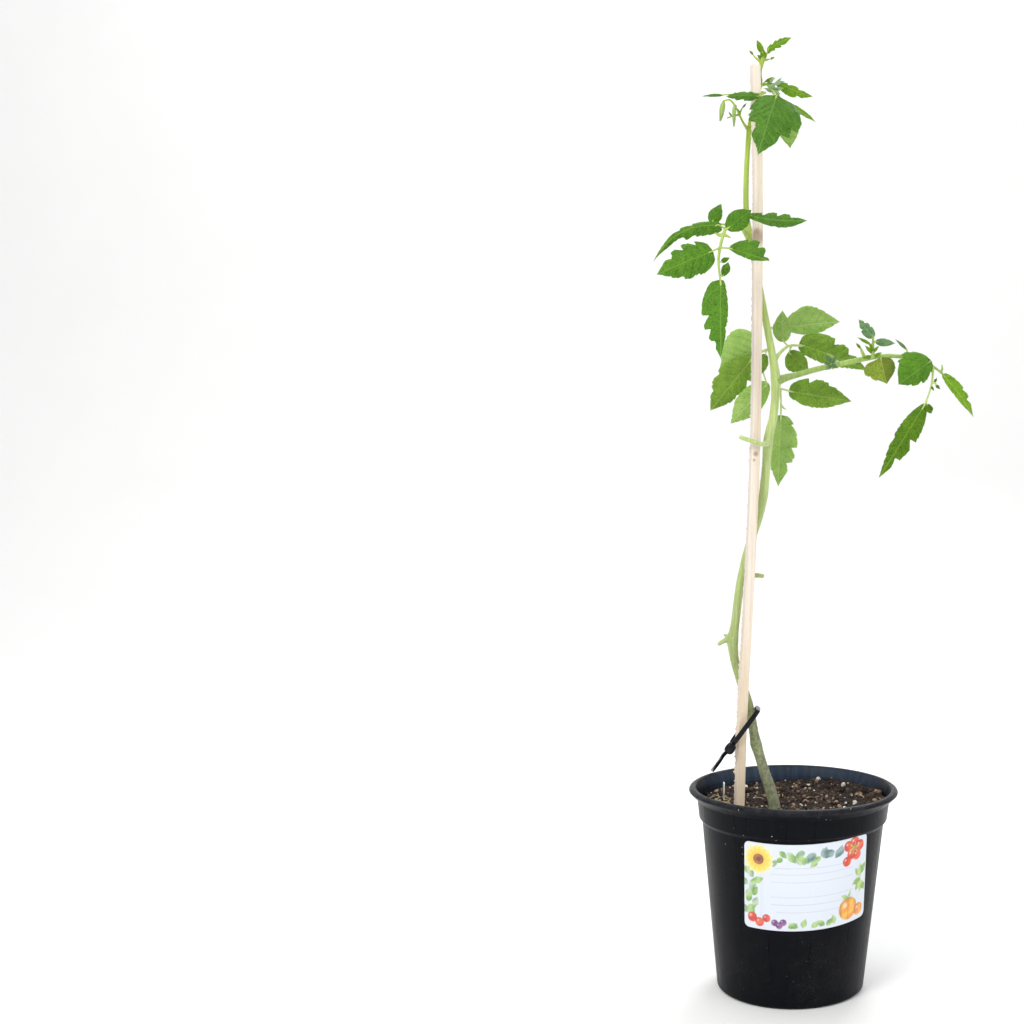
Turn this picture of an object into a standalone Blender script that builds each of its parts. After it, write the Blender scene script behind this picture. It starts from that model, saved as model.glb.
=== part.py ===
"""A young tomato plant tied to a wooden stake in a plastic nursery pot, as separate closed solids.

The row frame is +Z up and -Y the front. The origin is the middle of the pot's foot ring.
Tables are in millimetres; solids are made in metres.
"""

import math

import bpy
from mathutils import Matrix, Vector

MM = 0.001
GAP = 0.3

POT_HEIGHT = 160.0
RIM_RADIUS = 85.0
BASE_RADIUS = 59.3
BODY_TOP_RADIUS = 73.6
BODY_TOP_Z = 133.0
COLLAR_LOW_Z = 136.0
COLLAR_RADIUS = 76.2
COLLAR_TOP_RADIUS = 78.0
LIP_LOW_Z = 153.0
WALL = 1.8
FLOOR_UNDER_Z = 3.4
FLOOR_TOP_Z = 5.4
FOOT_RING_INNER = 51.0
FOOT_PAD_RADIUS = 8.0
POT_SIDES = 48
DRAIN_HOLES = 6
DRAIN_RADIUS = 4.5
DRAIN_CIRCLE = 40.0
FOOT_NOTCH_WIDTH = 15.0
FOOT_NOTCH_HEIGHT = 2.6

SOIL_Z = 146.0
SOIL_SIDES = 40

LABEL_WIDTH = 104.0
LABEL_HEIGHT = 66.0
LABEL_THICK = 0.5
LABEL_CENTRE_ANGLE = 11.0
LABEL_CENTRE_Z = 96.5
LABEL_TILT = 1.5
LABEL_CORNER = 4.0

STAKE_WIDTH = 6.9
STAKE_DEPTH = 6.4
STAKE_TURN = 20.0

BLADE_THICK = 0.8
PETIOLULE_RADIUS = 0.65
BLADE_SEAT = 0.75

STRAP_WIDTH = 4.8
STRAP_THICK = 1.2

# Centre line of the stake: x, y, z.
STAKE_PATH = [
    (-44.0, -22.0, 46.0),
    (-43.0, -22.0, 150.0),
    (-41.8, -21.5, 226.0),
    (-39.0, -21.0, 303.0),
    (-36.6, -20.0, 380.0),
    (-35.3, -19.5, 457.0),
    (-35.9, -18.5, 553.0),
    (-37.2, -18.0, 650.0),
    (-40.8, -17.0, 741.0),
]

# Centre line of the main stem: x, y, z, radius.
STEM_PATH = [
    (-14.0, -18.0, 126.0, 4.6),
    (-14.5, -18.0, 144.0, 4.6),
    (-18.0, -17.0, 159.0, 4.3),
    (-24.0, -15.0, 176.0, 4.2),
    (-29.5, -12.5, 193.0, 4.3),
    (-33.5, -10.5, 210.0, 3.9),
    (-37.5, -9.5, 227.0, 3.8),
    (-43.0, -9.5, 243.0, 3.8),
    (-49.0, -10.5, 261.0, 3.9),
    (-50.5, -11.0, 278.0, 4.1),
    (-49.0, -11.0, 297.0, 3.6),
    (-46.5, -10.0, 320.0, 3.5),
    (-42.0, -9.0, 344.0, 3.5),
    (-36.5, -8.8, 364.0, 3.5),
    (-31.5, -9.5, 381.0, 3.6),
    (-28.5, -10.0, 397.0, 3.8),
    (-26.6, -11.0, 420.0, 3.5),
    (-25.2, -11.5, 441.0, 4.0),
    (-21.8, -11.5, 458.0, 3.5),
    (-20.3, -10.5, 474.0, 3.4),
    (-20.2, -10.0, 490.0, 4.0),
    (-23.0, -9.0, 508.0, 3.2),
    (-30.0, -8.5, 542.0, 2.9),
    (-37.4, -8.5, 578.0, 2.7),
    (-42.8, -9.0, 604.0, 2.8),
    (-46.2, -9.5, 624.0, 2.4),
    (-46.8, -9.5, 650.0, 2.2),
    (-46.0, -9.0, 676.0, 2.1),
    (-44.6, -8.5, 692.0, 2.4),
    (-41.0, -8.0, 712.0, 1.9),
    (-37.0, -8.0, 728.0, 1.9),
    (-35.5, -8.8, 739.0, 1.5),
    (-35.3, -10.0, 747.0, 1.5),
    (-35.0, -11.0, 752.0, 1.0),
]

# Pruned side stubs and young tip leaves that grew as one with the main stem: x, y, z, radius.
STEM_STUBS = [
    [
        (-25.2, -11.5, 440.0, 2.0),
        (-26.4, -21.0, 437.5, 2.0),
        (-31.0, -28.6, 437.5, 1.9),
        (-47.0, -29.5, 442.5, 1.7),
    ],
    [(-43.5, -9.5, 331.0, 1.9), (-33.0, -9.8, 331.5, 1.9), (-28.0, -10.0, 331.0, 1.8)],
    [(-50.4, -11.0, 279.0, 1.8), (-57.0, -13.0, 279.0, 1.7), (-62.0, -14.0, 276.0, 1.6)],
    [(-35.3, -9.8, 745.0, 0.9), (-40.0, -11.0, 748.0, 0.9), (-43.5, -12.0, 751.5, 0.4)],
    [(-35.3, -9.8, 747.0, 0.9), (-31.5, -9.0, 748.0, 0.8), (-28.6, -9.0, 748.5, 0.4)],
    [(-35.0, -10.5, 749.0, 1.0), (-31.6, -9.8, 753.2, 0.9), (-30.6, -9.6, 756.0, 0.7)],
]

SIDE_SHOOT_PATH = [
    (-18.8, -10.0, 489.0, 2.9),
    (-12.0, -7.0, 495.0, 2.7),
    (-2.0, -1.0, 499.0, 2.5),
    (12.0, 4.0, 502.0, 2.4),
    (30.0, 8.0, 506.0, 2.3),
    (49.0, 10.0, 510.0, 2.1),
    (66.0, 11.0, 511.5, 1.9),
    (84.0, 12.0, 511.5, 1.7),
    (100.0, 12.0, 508.5, 1.4),
    (110.0, 12.0, 503.0, 1.1),
    (116.6, 12.0, 498.0, 0.9),
]


def clear_scene():
    for item in list(bpy.data.objects):
        bpy.data.objects.remove(item, do_unlink=True)


def material(name, colour, roughness):
    made = bpy.data.materials.new(name)
    made.use_nodes = True
    shader = made.node_tree.nodes["Principled BSDF"]
    shader.inputs["Base Color"].default_value = (*colour, 1.0)
    shader.inputs["Roughness"].default_value = roughness
    shader.inputs["Metallic"].default_value = 0.0
    return made


def add_solid(name, points, faces, look, smooth=True):
    """One named mesh object from points in millimetres."""
    mesh = bpy.data.meshes.new(name)
    mesh.from_pydata([tuple(c * MM for c in p) for p in points], [], faces)
    mesh.validate()
    solid = bpy.data.objects.new(name, mesh)
    bpy.context.scene.collection.objects.link(solid)
    mesh.materials.append(look)
    if smooth:
        mesh.shade_smooth()
        mesh.set_sharp_from_angle(angle=math.radians(40))
    return solid


def hide_as_cutter(solid):
    solid.hide_render = True
    solid.display_type = "WIRE"


def combine(solid, other, operation):
    """An exact Boolean with a hidden helper object."""
    hide_as_cutter(other)
    step = solid.modifiers.new(other.name, "BOOLEAN")
    step.operation = operation
    step.solver = "EXACT"
    step.object = other


def smooth_path(controls, steps):
    """A Catmull-Rom curve through control rows of any length, ends kept."""
    rows = [Vector(c) for c in controls]
    out = []
    for i in range(len(rows) - 1):
        before = rows[max(i - 1, 0)]
        after = rows[min(i + 2, len(rows) - 1)]
        for k in range(steps):
            t = k / steps
            a = -0.5 * t + t * t - 0.5 * t**3
            b = 1.0 - 2.5 * t * t + 1.5 * t**3
            c = 0.5 * t + 2.0 * t * t - 1.5 * t**3
            d = -0.5 * t * t + 0.5 * t**3
            out.append(before * a + rows[i] * b + rows[i + 1] * c + after * d)
    out.append(rows[-1])
    return out


def frames_along(centres, side_hint):
    """A side and an up direction at each point of a path, carried along without twisting."""
    frames = []
    side = Vector(side_hint)
    for i in range(len(centres)):
        ahead = centres[min(i + 1, len(centres) - 1)] - centres[max(i - 1, 0)]
        ahead.normalize()
        side = side - ahead * side.dot(ahead)
        side.normalize()
        frames.append((side.copy(), ahead.cross(side)))
    return frames


def swept_rings(centres, frames, outlines):
    """Points and faces of a body swept along centres, each outline a list of (side, up) pairs."""
    points = []
    for centre, (side, up), outline in zip(centres, frames, outlines):
        points += [centre + side * a + up * b for a, b in outline]
    n = len(outlines[0])
    faces = [tuple(reversed(range(n)))]
    for i in range(len(centres) - 1):
        for k in range(n):
            j = (k + 1) % n
            faces.append((i * n + k, i * n + j, (i + 1) * n + j, (i + 1) * n + k))
    last = (len(centres) - 1) * n
    faces.append(tuple(range(last, last + n)))
    return points, faces


def circle(radius, sides):
    turns = [2.0 * math.pi * k / sides for k in range(sides)]
    return [(radius * math.cos(a), radius * math.sin(a)) for a in turns]


def tube(name, path, look, sides=8, steps=3, grow=0.0):
    """A round tapering stem through rows of (x, y, z, radius)."""
    rows = smooth_path(path, steps)
    centres = [row.to_3d() for row in rows]
    frames = frames_along(centres, (0.31, 0.87, 0.38))
    outlines = [circle(row[3] + grow, sides) for row in rows]
    points, faces = swept_rings(centres, frames, outlines)
    return add_solid(name, points, faces, look)


def rectangle(width, depth, turn):
    c, s = math.cos(math.radians(turn)), math.sin(math.radians(turn))
    corners = ((-0.5, -0.5), (0.5, -0.5), (0.5, 0.5), (-0.5, 0.5))
    return [(width * a * c - depth * b * s, width * a * s + depth * b * c) for a, b in corners]


def bar(name, path, look, width, depth, turn=0.0, steps=1, side=(1.0, 0.0, 0.0)):
    """A four-sided strip through rows of (x, y, z)."""
    centres = [row.to_3d() for row in smooth_path(path, steps)]
    frames = frames_along(centres, side)
    outline = rectangle(width, depth, turn)
    points, faces = swept_rings(centres, frames, [outline] * len(centres))
    return add_solid(name, points, faces, look, smooth=False)


def turned(name, profile, sides, look):
    """A closed profile of (radius, z) pairs turned round the z axis."""
    points = []
    rings = []
    for radius, z in profile:
        if radius < 1e-6:
            rings.append([len(points)])
            points.append((0.0, 0.0, z))
            continue
        rings.append(list(range(len(points), len(points) + sides)))
        points += [(a, b, z) for a, b in circle(radius, sides)]
    faces = []
    for low, high in zip(rings, rings[1:]):
        for k in range(sides):
            j = (k + 1) % sides
            if len(low) == 1:
                faces.append((low[0], high[j], high[k]))
            elif len(high) == 1:
                faces.append((low[k], low[j], high[0]))
            else:
                faces.append((low[k], low[j], high[j], high[k]))
    return add_solid(name, points, faces, look)


def cylinder_shape(radius, low, high, x, y, sides=14):
    points = [(x + a, y + b, low) for a, b in circle(radius, sides)]
    points += [(x + a, y + b, high) for a, b in circle(radius, sides)]
    faces = [tuple(reversed(range(sides))), tuple(range(sides, 2 * sides))]
    for k in range(sides):
        j = (k + 1) % sides
        faces.append((k, j, sides + j, sides + k))
    return points, faces


def box_shape(size, centre, turn):
    c, s = math.cos(turn), math.sin(turn)
    points = []
    for z in (-0.5, 0.5):
        for a, b in ((-0.5, -0.5), (0.5, -0.5), (0.5, 0.5), (-0.5, 0.5)):
            x, y = a * size[0], b * size[1]
            points.append((centre[0] + x * c - y * s, centre[1] + x * s + y * c, centre[2] + z * size[2]))
    faces = [(3, 2, 1, 0), (4, 5, 6, 7), (0, 1, 5, 4), (1, 2, 6, 5), (2, 3, 7, 6), (3, 0, 4, 7)]
    return points, faces


def joined(shapes):
    """Several separate closed shapes as one set of points and faces."""
    points, faces = [], []
    for more_points, more_faces in shapes:
        start = len(points)
        points += more_points
        faces += [tuple(start + i for i in face) for face in more_faces]
    return points, faces


def bump(x):
    return max(0.0, 1.0 - x * x) ** 2


def half_width(t, widest, peak, blunt, lobes):
    """Half the width of a leaflet at t of its length: blunt at its base, drawn out at its tip, notched."""
    power = math.log(0.5) / math.log(peak)
    swell = math.sin(math.pi * min(max(t, 0.0), 1.0) ** power)
    width = widest * max(swell, 0.0) ** (blunt + (1.05 - blunt) * t)
    for place, depth, span in lobes:
        width -= depth * bump((t - place) / span)
    return max(width, 0.45)


def leaflet(name, base, tip, left, right, look, tilt=0.0, fold=18.0, bow=1.5, sweep=0.0, peak=0.38,
            blunt=0.5, lobes_left=(), lobes_right=(), stations=9, thick=BLADE_THICK):
    """A thin leaf blade from base to tip.

    Left and right are the half widths either side of the midrib, looking from base to tip from the front.
    Tilt turns the blade about its midrib, fold bends the halves back, bow arches it to the front
    and sweep bends it to the left.
    """
    base, tip = Vector(base), Vector(tip)
    along = tip - base
    side = along.cross(Vector((0.0, 1.0, 0.0))).normalized()
    face = along.normalized().cross(side)
    turn = Matrix.Rotation(math.radians(tilt), 3, along.normalized())
    side, face = turn @ side, turn @ face
    c, s = math.cos(math.radians(fold)), math.sin(math.radians(fold))
    places = {i / (stations - 1) for i in range(stations)} | {0.03}
    for place, _, span in lobes_left + lobes_right:
        places |= {place - 0.6 * span, place, place + 0.9 * span}
    places = sorted(p for p in places if 0.0 <= p <= 1.0)
    points = []
    for t in places:
        arch = 4.0 * t * (1.0 - t)
        middle = base + along * t + face * bow * arch + side * sweep * arch
        wide_left = half_width(t, left, peak, blunt, lobes_left)
        wide_right = half_width(t, right, peak, blunt, lobes_right)
        across = [
            middle + side * wide_left * c - face * wide_left * s,
            middle,
            middle - side * wide_right * c - face * wide_right * s,
        ]
        lift = face * thick * 0.5
        points += [p + lift for p in across] + [p - lift for p in reversed(across)]
    faces = [tuple(reversed(range(6)))]
    for i in range(len(places) - 1):
        for k in range(6):
            j = (k + 1) % 6
            faces.append((i * 6 + k, i * 6 + j, (i + 1) * 6 + j, (i + 1) * 6 + k))
    last = (len(places) - 1) * 6
    faces.append(tuple(range(last, last + 6)))
    return add_solid(name, points, faces, look)


def petiolule(start, base, tip, via=None, radius=PETIOLULE_RADIUS):
    """Rows of a thin stalk from inside its parent to just short of a leaflet's base."""
    base, tip = Vector(base), Vector(tip)
    end = base - (tip - base).normalized() * BLADE_SEAT
    rows = [start] + ([via] if via else []) + [tuple(end)]
    return [(*row[:3], radius) for row in rows]


def stalk(name, path, branches, look, parent, sides=6, steps=2):
    """A leaf stalk with its branches, trimmed to stand just off the stem it grows from."""
    body = tube(name, path, look, sides=sides, steps=steps)
    for i, rows in enumerate(branches):
        combine(body, tube(f"{name}_branch_{i}", rows, look, sides=sides, steps=2), "UNION")
    if parent:
        combine(body, tube(f"{name}_trim", parent, look, sides=10, steps=2, grow=GAP), "DIFFERENCE")
    return body


def bud(name, top, foot, radius, look):
    """A closed spindle-shaped flower bud hanging from top to foot."""
    top, foot = Vector(top), Vector(foot)
    shape = ((0.0, 0.35), (0.1, 0.6), (0.3, 0.95), (0.5, 1.0), (0.72, 0.7), (0.88, 0.42), (1.0, 0.3))
    rows = [(*(top + (foot - top) * t), radius * w) for t, w in shape]
    return tube(name, rows, look, sides=8, steps=1)


def body_radius(z):
    return BASE_RADIUS + (BODY_TOP_RADIUS - BASE_RADIUS) * z / BODY_TOP_Z


def build_pot(look):
    profile = [
        (BASE_RADIUS - 1.5, 0.0),
        (BASE_RADIUS, 1.5),
        (BODY_TOP_RADIUS, BODY_TOP_Z),
        (COLLAR_RADIUS, COLLAR_LOW_Z),
        (COLLAR_TOP_RADIUS, LIP_LOW_Z),
        (RIM_RADIUS - 1.6, LIP_LOW_Z + 0.8),
        (RIM_RADIUS, LIP_LOW_Z + 2.6),
        (RIM_RADIUS, POT_HEIGHT - 1.4),
        (RIM_RADIUS - 1.8, POT_HEIGHT),
        (RIM_RADIUS - 4.4, POT_HEIGHT),
        (COLLAR_TOP_RADIUS - WALL, LIP_LOW_Z - 1.0),
        (COLLAR_RADIUS - WALL, COLLAR_LOW_Z),
        (BODY_TOP_RADIUS - WALL, BODY_TOP_Z - 1.0),
        (body_radius(FLOOR_TOP_Z) - WALL, FLOOR_TOP_Z),
        (0.0, FLOOR_TOP_Z),
    ]
    underside = [
        (0.0, 0.0),
        (FOOT_PAD_RADIUS, 0.0),
        (FOOT_PAD_RADIUS + 1.0, FLOOR_UNDER_Z),
        (FOOT_RING_INNER - 1.0, FLOOR_UNDER_Z),
        (FOOT_RING_INNER, 0.0),
    ]
    pot = turned("pot", underside + profile, POT_SIDES, look)
    cuts = []
    for k in range(DRAIN_HOLES):
        angle = 2.0 * math.pi * (k + 0.5) / DRAIN_HOLES
        x, y = DRAIN_CIRCLE * math.cos(angle), DRAIN_CIRCLE * math.sin(angle)
        cuts.append(cylinder_shape(DRAIN_RADIUS, -5.0, 12.0, x, y))
        middle = 0.5 * (FOOT_RING_INNER + BASE_RADIUS)
        x, y = middle * math.cos(angle), middle * math.sin(angle)
        size = (20.0, FOOT_NOTCH_WIDTH, 2.0 * FOOT_NOTCH_HEIGHT)
        cuts.append(box_shape(size, (x, y, 0.0), angle))
    combine(pot, add_solid("pot_cuts", *joined(cuts), look, smooth=False), "DIFFERENCE")
    return pot


def build_soil(look):
    """The potting mix: a plug 0.3 mm clear of the pot, its top slightly uneven."""
    inner = [
        (0.0, FLOOR_TOP_Z + GAP),
        (body_radius(FLOOR_TOP_Z) - WALL - GAP, FLOOR_TOP_Z + GAP),
        (BODY_TOP_RADIUS - WALL - GAP, BODY_TOP_Z - 1.0),
        (COLLAR_RADIUS - WALL - GAP - 0.1, COLLAR_LOW_Z),
        (COLLAR_RADIUS - WALL + 0.1, SOIL_Z - 1.0),
        (64.0, SOIL_Z + 0.4),
        (46.0, SOIL_Z - 0.5),
        (26.0, SOIL_Z + 0.6),
        (0.0, SOIL_Z),
    ]
    soil = turned("soil", inner, SOIL_SIDES, look)
    stem_rows = [(-13.9, -18.0, 122.0, 4.7)] + STEM_PATH[1:5]
    combine(soil, tube("stem_hole", stem_rows, look, sides=10, steps=2, grow=GAP), "DIFFERENCE")
    hole = bar("stake_hole", [(-44.05, -22.0, 41.0)] + STAKE_PATH[1:2] + [(-42.4, -21.8, 190.0)], look,
               STAKE_WIDTH + 2 * GAP, STAKE_DEPTH + 2 * GAP, STAKE_TURN)
    combine(soil, hole, "DIFFERENCE")
    slot = box_shape((0.9 + 2 * GAP, 7.0 + 2 * GAP, 60.0), (-57.0, 8.0, 157.7), math.radians(8.0))
    combine(soil, add_solid("marker_hole", *slot, look, smooth=False), "DIFFERENCE")
    return soil


def on_cone(s, q, lift):
    """A point of the label, s along and q up its flat sheet, wrapped round the pot's tapered side."""
    tilt = math.radians(LABEL_TILT)
    s, q = s * math.cos(tilt) - q * math.sin(tilt), s * math.sin(tilt) + q * math.cos(tilt)
    slope = (BODY_TOP_RADIUS - BASE_RADIUS) / BODY_TOP_Z
    lean = math.atan(slope)
    apex = body_radius(LABEL_CENTRE_Z) / math.sin(lean)
    reach = math.hypot(apex + q, s)
    turn = math.atan2(s, apex + q) / math.sin(lean)
    angle = math.radians(LABEL_CENTRE_ANGLE) + turn
    radius = reach * math.sin(lean) + lift * math.cos(lean)
    z = LABEL_CENTRE_Z + (reach - apex) * math.cos(lean) - lift * math.sin(lean)
    return (radius * math.sin(angle), -radius * math.cos(angle), z)


def build_label(look):
    """A paper-thin rounded sticker standing 0.3 mm off the pot."""
    half_w, half_h = LABEL_WIDTH / 2, LABEL_HEIGHT / 2
    columns = [-half_w, -half_w + 0.8, -half_w + LABEL_CORNER]
    columns += [-half_w + LABEL_CORNER + (LABEL_WIDTH - 2 * LABEL_CORNER) * k / 16 for k in range(1, 16)]
    columns += [-c for c in reversed(columns[:3])]
    rows = 3
    points = []
    for lift in (GAP, GAP + LABEL_THICK):
        for s in columns:
            into = max(0.0, abs(s) - (half_w - LABEL_CORNER))
            drop = LABEL_CORNER - math.sqrt(max(LABEL_CORNER**2 - into**2, 0.0))
            height = half_h - drop
            points += [on_cone(s, -height + 2 * height * k / rows, lift) for k in range(rows + 1)]
    n = rows + 1
    count = len(columns)
    top = count * n
    faces = []
    for i in range(count - 1):
        for k in range(rows):
            a, b, c, d = i * n + k, (i + 1) * n + k, (i + 1) * n + k + 1, i * n + k + 1
            faces.append((d, c, b, a))
            faces.append((top + a, top + b, top + c, top + d))
        low, high = i * n, i * n + rows
        faces.append((low, low + n, top + low + n, top + low))
        faces.append((high + n, high, top + high, top + high + n))
    for k in range(rows):
        last = (count - 1) * n
        faces.append((k + 1, k, top + k, top + k + 1))
        faces.append((last + k, last + k + 1, top + last + k + 1, top + last + k))
    return add_solid("label", points, faces, look)


def build_cable_tie(look):
    """A slanted strap loop round stake and stem, with its locking head and a free tail to the rim."""
    along = Vector((0.586, 0.0, 0.810))
    across = Vector((-0.810, 0.0, 0.586))
    centre = Vector((-40.0, -16.6, 210.5))
    half_long, half_deep, corner = 18.0, 12.7, 5.5
    ring = []
    for sx, sy, start in ((1, 1, 0), (-1, 1, 90), (-1, -1, 180), (1, -1, 270)):
        for k in range(4):
            angle = math.radians(start + 30 * k)
            a = sx * (half_long - corner) + corner * math.cos(angle)
            b = sy * (half_deep - corner) + corner * math.sin(angle)
            out = along * math.cos(angle) + Vector((0.0, 1.0, 0.0)) * math.sin(angle)
            ring.append((centre + along * a + Vector((0.0, b, 0.0)), out))
    points = []
    for place, out in ring:
        for a, b in ((-0.5, -0.5), (0.5, -0.5), (0.5, 0.5), (-0.5, 0.5)):
            points.append(place + across * STRAP_WIDTH * a + out * STRAP_THICK * b)
    faces = []
    count = len(ring)
    for i in range(count):
        j = (i + 1) % count
        for k in range(4):
            m = (k + 1) % 4
            faces.append((i * 4 + k, i * 4 + m, j * 4 + m, j * 4 + k))
    tie = add_solid("cable_tie", points, faces, look, smooth=False)
    low = centre - along * 22.5 + Vector((0.0, -14.7, 0.0))
    high = centre - along * 14.0 + Vector((0.0, -14.7, 0.0))
    head = bar("tie_head", [tuple(low), tuple(high)], look, 7.6, 5.2, side=tuple(across))
    combine(tie, head, "UNION")
    tail_path = [
        (-51.5, -30.5, 194.5),
        (-56.5, -16.0, 187.5),
        (-61.0, 10.0, 177.0),
        (-66.0, 32.0, 167.0),
        (-69.0, 46.0, 161.2),
    ]
    tail = bar("tie_tail", tail_path, look, 3.2, STRAP_THICK, steps=3, side=(0.9, 0.35, 0.0))
    combine(tie, tail, "UNION")
    return tie


def build_small_parts(wood, white):
    bar("stake", STAKE_PATH, wood, STAKE_WIDTH, STAKE_DEPTH, STAKE_TURN, steps=2)
    shape = box_shape((0.9, 7.0, 32.0), (-57.0, 8.0, 144.0), math.radians(8.0))
    add_solid("plant_marker", *shape, white, smooth=False)


def build_stems(green_stem, shoot_green):
    stem = tube("main_stem", STEM_PATH, green_stem, sides=10, steps=2)
    for i, rows in enumerate(STEM_STUBS):
        combine(stem, tube(f"stem_stub_{i}", rows, green_stem, sides=6, steps=2), "UNION")
    branches = [
        [(59.0, 10.5, 510.0, 1.3), (59.0, 12.0, 518.0, 1.2), (59.0, 12.0, 524.0, 1.1)],
        petiolule((59.0, 12.0, 523.0), (58.6, 12.0, 527.5), (47.0, 16.0, 542.0)),
        petiolule((59.0, 12.0, 522.5), (61.5, 12.0, 523.5), (77.0, 8.0, 522.0)),
        petiolule((59.0, 12.0, 519.0), (56.5, 12.2, 521.5), (46.0, 14.0, 527.0)),
        petiolule((66.0, 11.0, 511.0), (65.5, 7.6, 509.0), (70.5, 3.0, 488.5)),
        petiolule((101.0, 12.0, 508.0), (105.5, 6.5, 507.5), (79.5, -2.0, 488.0), via=(105.0, 9.5, 508.5)),
        petiolule((87.0, 12.0, 511.0), (86.5, 12.2, 517.8), (77.0, 12.0, 526.0)),
        petiolule((115.0, 12.0, 499.5), (118.0, 12.0, 496.2), (143.0, 16.0, 463.0)),
        [(115.0, 12.0, 499.0, 0.7), (116.2, 12.0, 502.0, 0.8), (116.0, 12.0, 505.5, 0.4)],
        [(28.0, 8.0, 505.5, 1.6), (24.0, 2.0, 509.5, 1.8), (22.0, -0.5, 511.5, 0.8)],
        [(30.0, 7.5, 505.5, 1.6), (27.0, 2.0, 503.0, 1.7), (26.0, 0.0, 500.0, 0.8)],
        [(52.0, 10.0, 510.5, 1.0), (50.0, 10.0, 515.0, 1.1), (48.5, 10.0, 518.5, 0.5)],
    ]
    stalk("side_shoot", SIDE_SHOOT_PATH, branches, shoot_green, STEM_PATH, sides=8)


def build_top_leaves(young, dark, light, stem_look):
    apex_left = ((-35.5, -11.6, 753.0), (-40.0, -14.0, 762.5))
    apex_right = ((-30.3, -9.4, 756.9), (-12.0, -13.0, 765.3))
    leaflet("apex_leaflet_left", *apex_left, 2.8, 2.8, young, fold=22.0, bow=0.8, stations=6)
    leaflet("apex_leaflet_right", *apex_right, 3.0, 3.2, young, sweep=1.4, peak=0.42, stations=7,
            lobes_left=((0.3, 0.8, 0.06),))
    right = ((-23.0, 3.0, 733.0), (6.0, 8.0, 723.0))
    front = ((-24.0, -34.0, 709.0), (-36.0, -60.0, 660.0))
    behind = ((-15.0, 8.0, 708.0), (-12.0, 16.0, 682.0))
    narrow = ((-12.0, 8.0, 716.0), (9.0, 12.0, 703.0))
    tiny = ((-33.0, -5.0, 731.0), (-25.5, -6.0, 735.0))
    branches = [
        petiolule((-35.0, -6.0, 728.3), *tiny, radius=0.5),
        petiolule((-24.5, 2.0, 731.0), *right),
        petiolule((-31.0, -3.0, 729.5), *front, via=(-25.0, -20.0, 718.0), radius=0.9),
        petiolule((-27.0, 0.5, 730.5), *behind, via=(-20.0, 5.0, 719.0), radius=0.8),
        petiolule((-21.5, 4.6, 721.0), *narrow),
    ]
    path = [(-37.5, -8.0, 727.0, 1.1), (-32.0, -3.5, 729.5, 1.0), (-24.0, 2.4, 731.2, 0.9)]
    stalk("top_leaf_stalk", path, branches, stem_look, STEM_PATH)
    leaflet("top_leaflet_tiny", *tiny, 1.2, 1.2, young, stations=4)
    leaflet("top_leaflet_right", *right, 4.0, 6.2, young, fold=24.0, bow=2.0, sweep=-1.2, peak=0.42,
            lobes_left=((0.3, 1.6, 0.06), (0.6, 0.9, 0.06)), lobes_right=((0.62, 1.0, 0.06),))
    leaflet("top_leaflet_front", *front, 26.0, 18.0, dark, fold=12.0, bow=4.0, peak=0.32,
            lobes_left=((0.2, 2.5, 0.05), (0.56, 5.0, 0.08)),
            lobes_right=((0.3, 2.0, 0.05), (0.56, 3.0, 0.07)))
    leaflet("top_leaflet_behind", *behind, 10.0, 9.5, light, bow=-1.5, stations=7)
    leaflet("top_leaflet_narrow", *narrow, 2.6, 2.2, young, stations=6)
    left = ((-37.0, -28.5, 713.6), (-63.0, -31.0, 712.0))
    end = ((-66.0, -31.0, 713.2), (-82.0, -33.0, 711.5))
    path = [
        (-38.6, -8.0, 721.5, 1.0),
        (-32.8, -14.5, 720.0, 0.9),
        (-33.0, -22.5, 717.5, 0.8),
        (-38.0, -25.4, 716.3, 0.7),
        (-50.0, -26.2, 715.8, 0.6),
        (-65.3, -30.6, 713.5, 0.6),
    ]
    branches = [petiolule((-33.0, -22.5, 717.5), *left, radius=0.6)]
    stalk("top_left_stalk", path, branches, stem_look, STEM_PATH)
    leaflet("top_left_leaflet", *left, 3.6, 3.6, dark, tilt=10.0, fold=20.0, bow=2.0, peak=0.45,
            lobes_left=((0.5, 0.8, 0.06),), lobes_right=((0.35, 0.8, 0.05),))
    leaflet("top_left_leaflet_end", *end, 1.4, 1.3, dark, stations=6)


def build_buds(stem_look, bud_look):
    path = [
        (-44.8, -8.5, 690.0, 1.4),
        (-49.0, -16.0, 694.0, 1.1),
        (-53.0, -23.0, 700.5, 1.0),
        (-56.0, -29.0, 707.0, 0.8),
    ]
    branches = [
        [(-55.0, -27.0, 705.0, 0.8), (-60.0, -29.5, 709.8, 0.7), (-64.6, -31.0, 709.0, 0.6)],
        [(-52.5, -22.0, 700.0, 0.8), (-57.0, -24.0, 698.6, 0.7), (-62.0, -25.0, 696.5, 0.5)],
        [(-52.5, -22.0, 700.0, 0.8), (-51.0, -23.0, 704.0, 0.6), (-49.0, -24.0, 706.0, 0.4)],
    ]
    stalk("truss_stalk", path, branches, stem_look, STEM_PATH)
    bud("bud_long", (-64.9, -31.0, 708.0), (-67.2, -31.5, 692.5), 2.3, bud_look)
    bud("bud_short", (-56.5, -29.8, 705.0), (-56.4, -30.0, 688.5), 1.9, bud_look)


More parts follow.
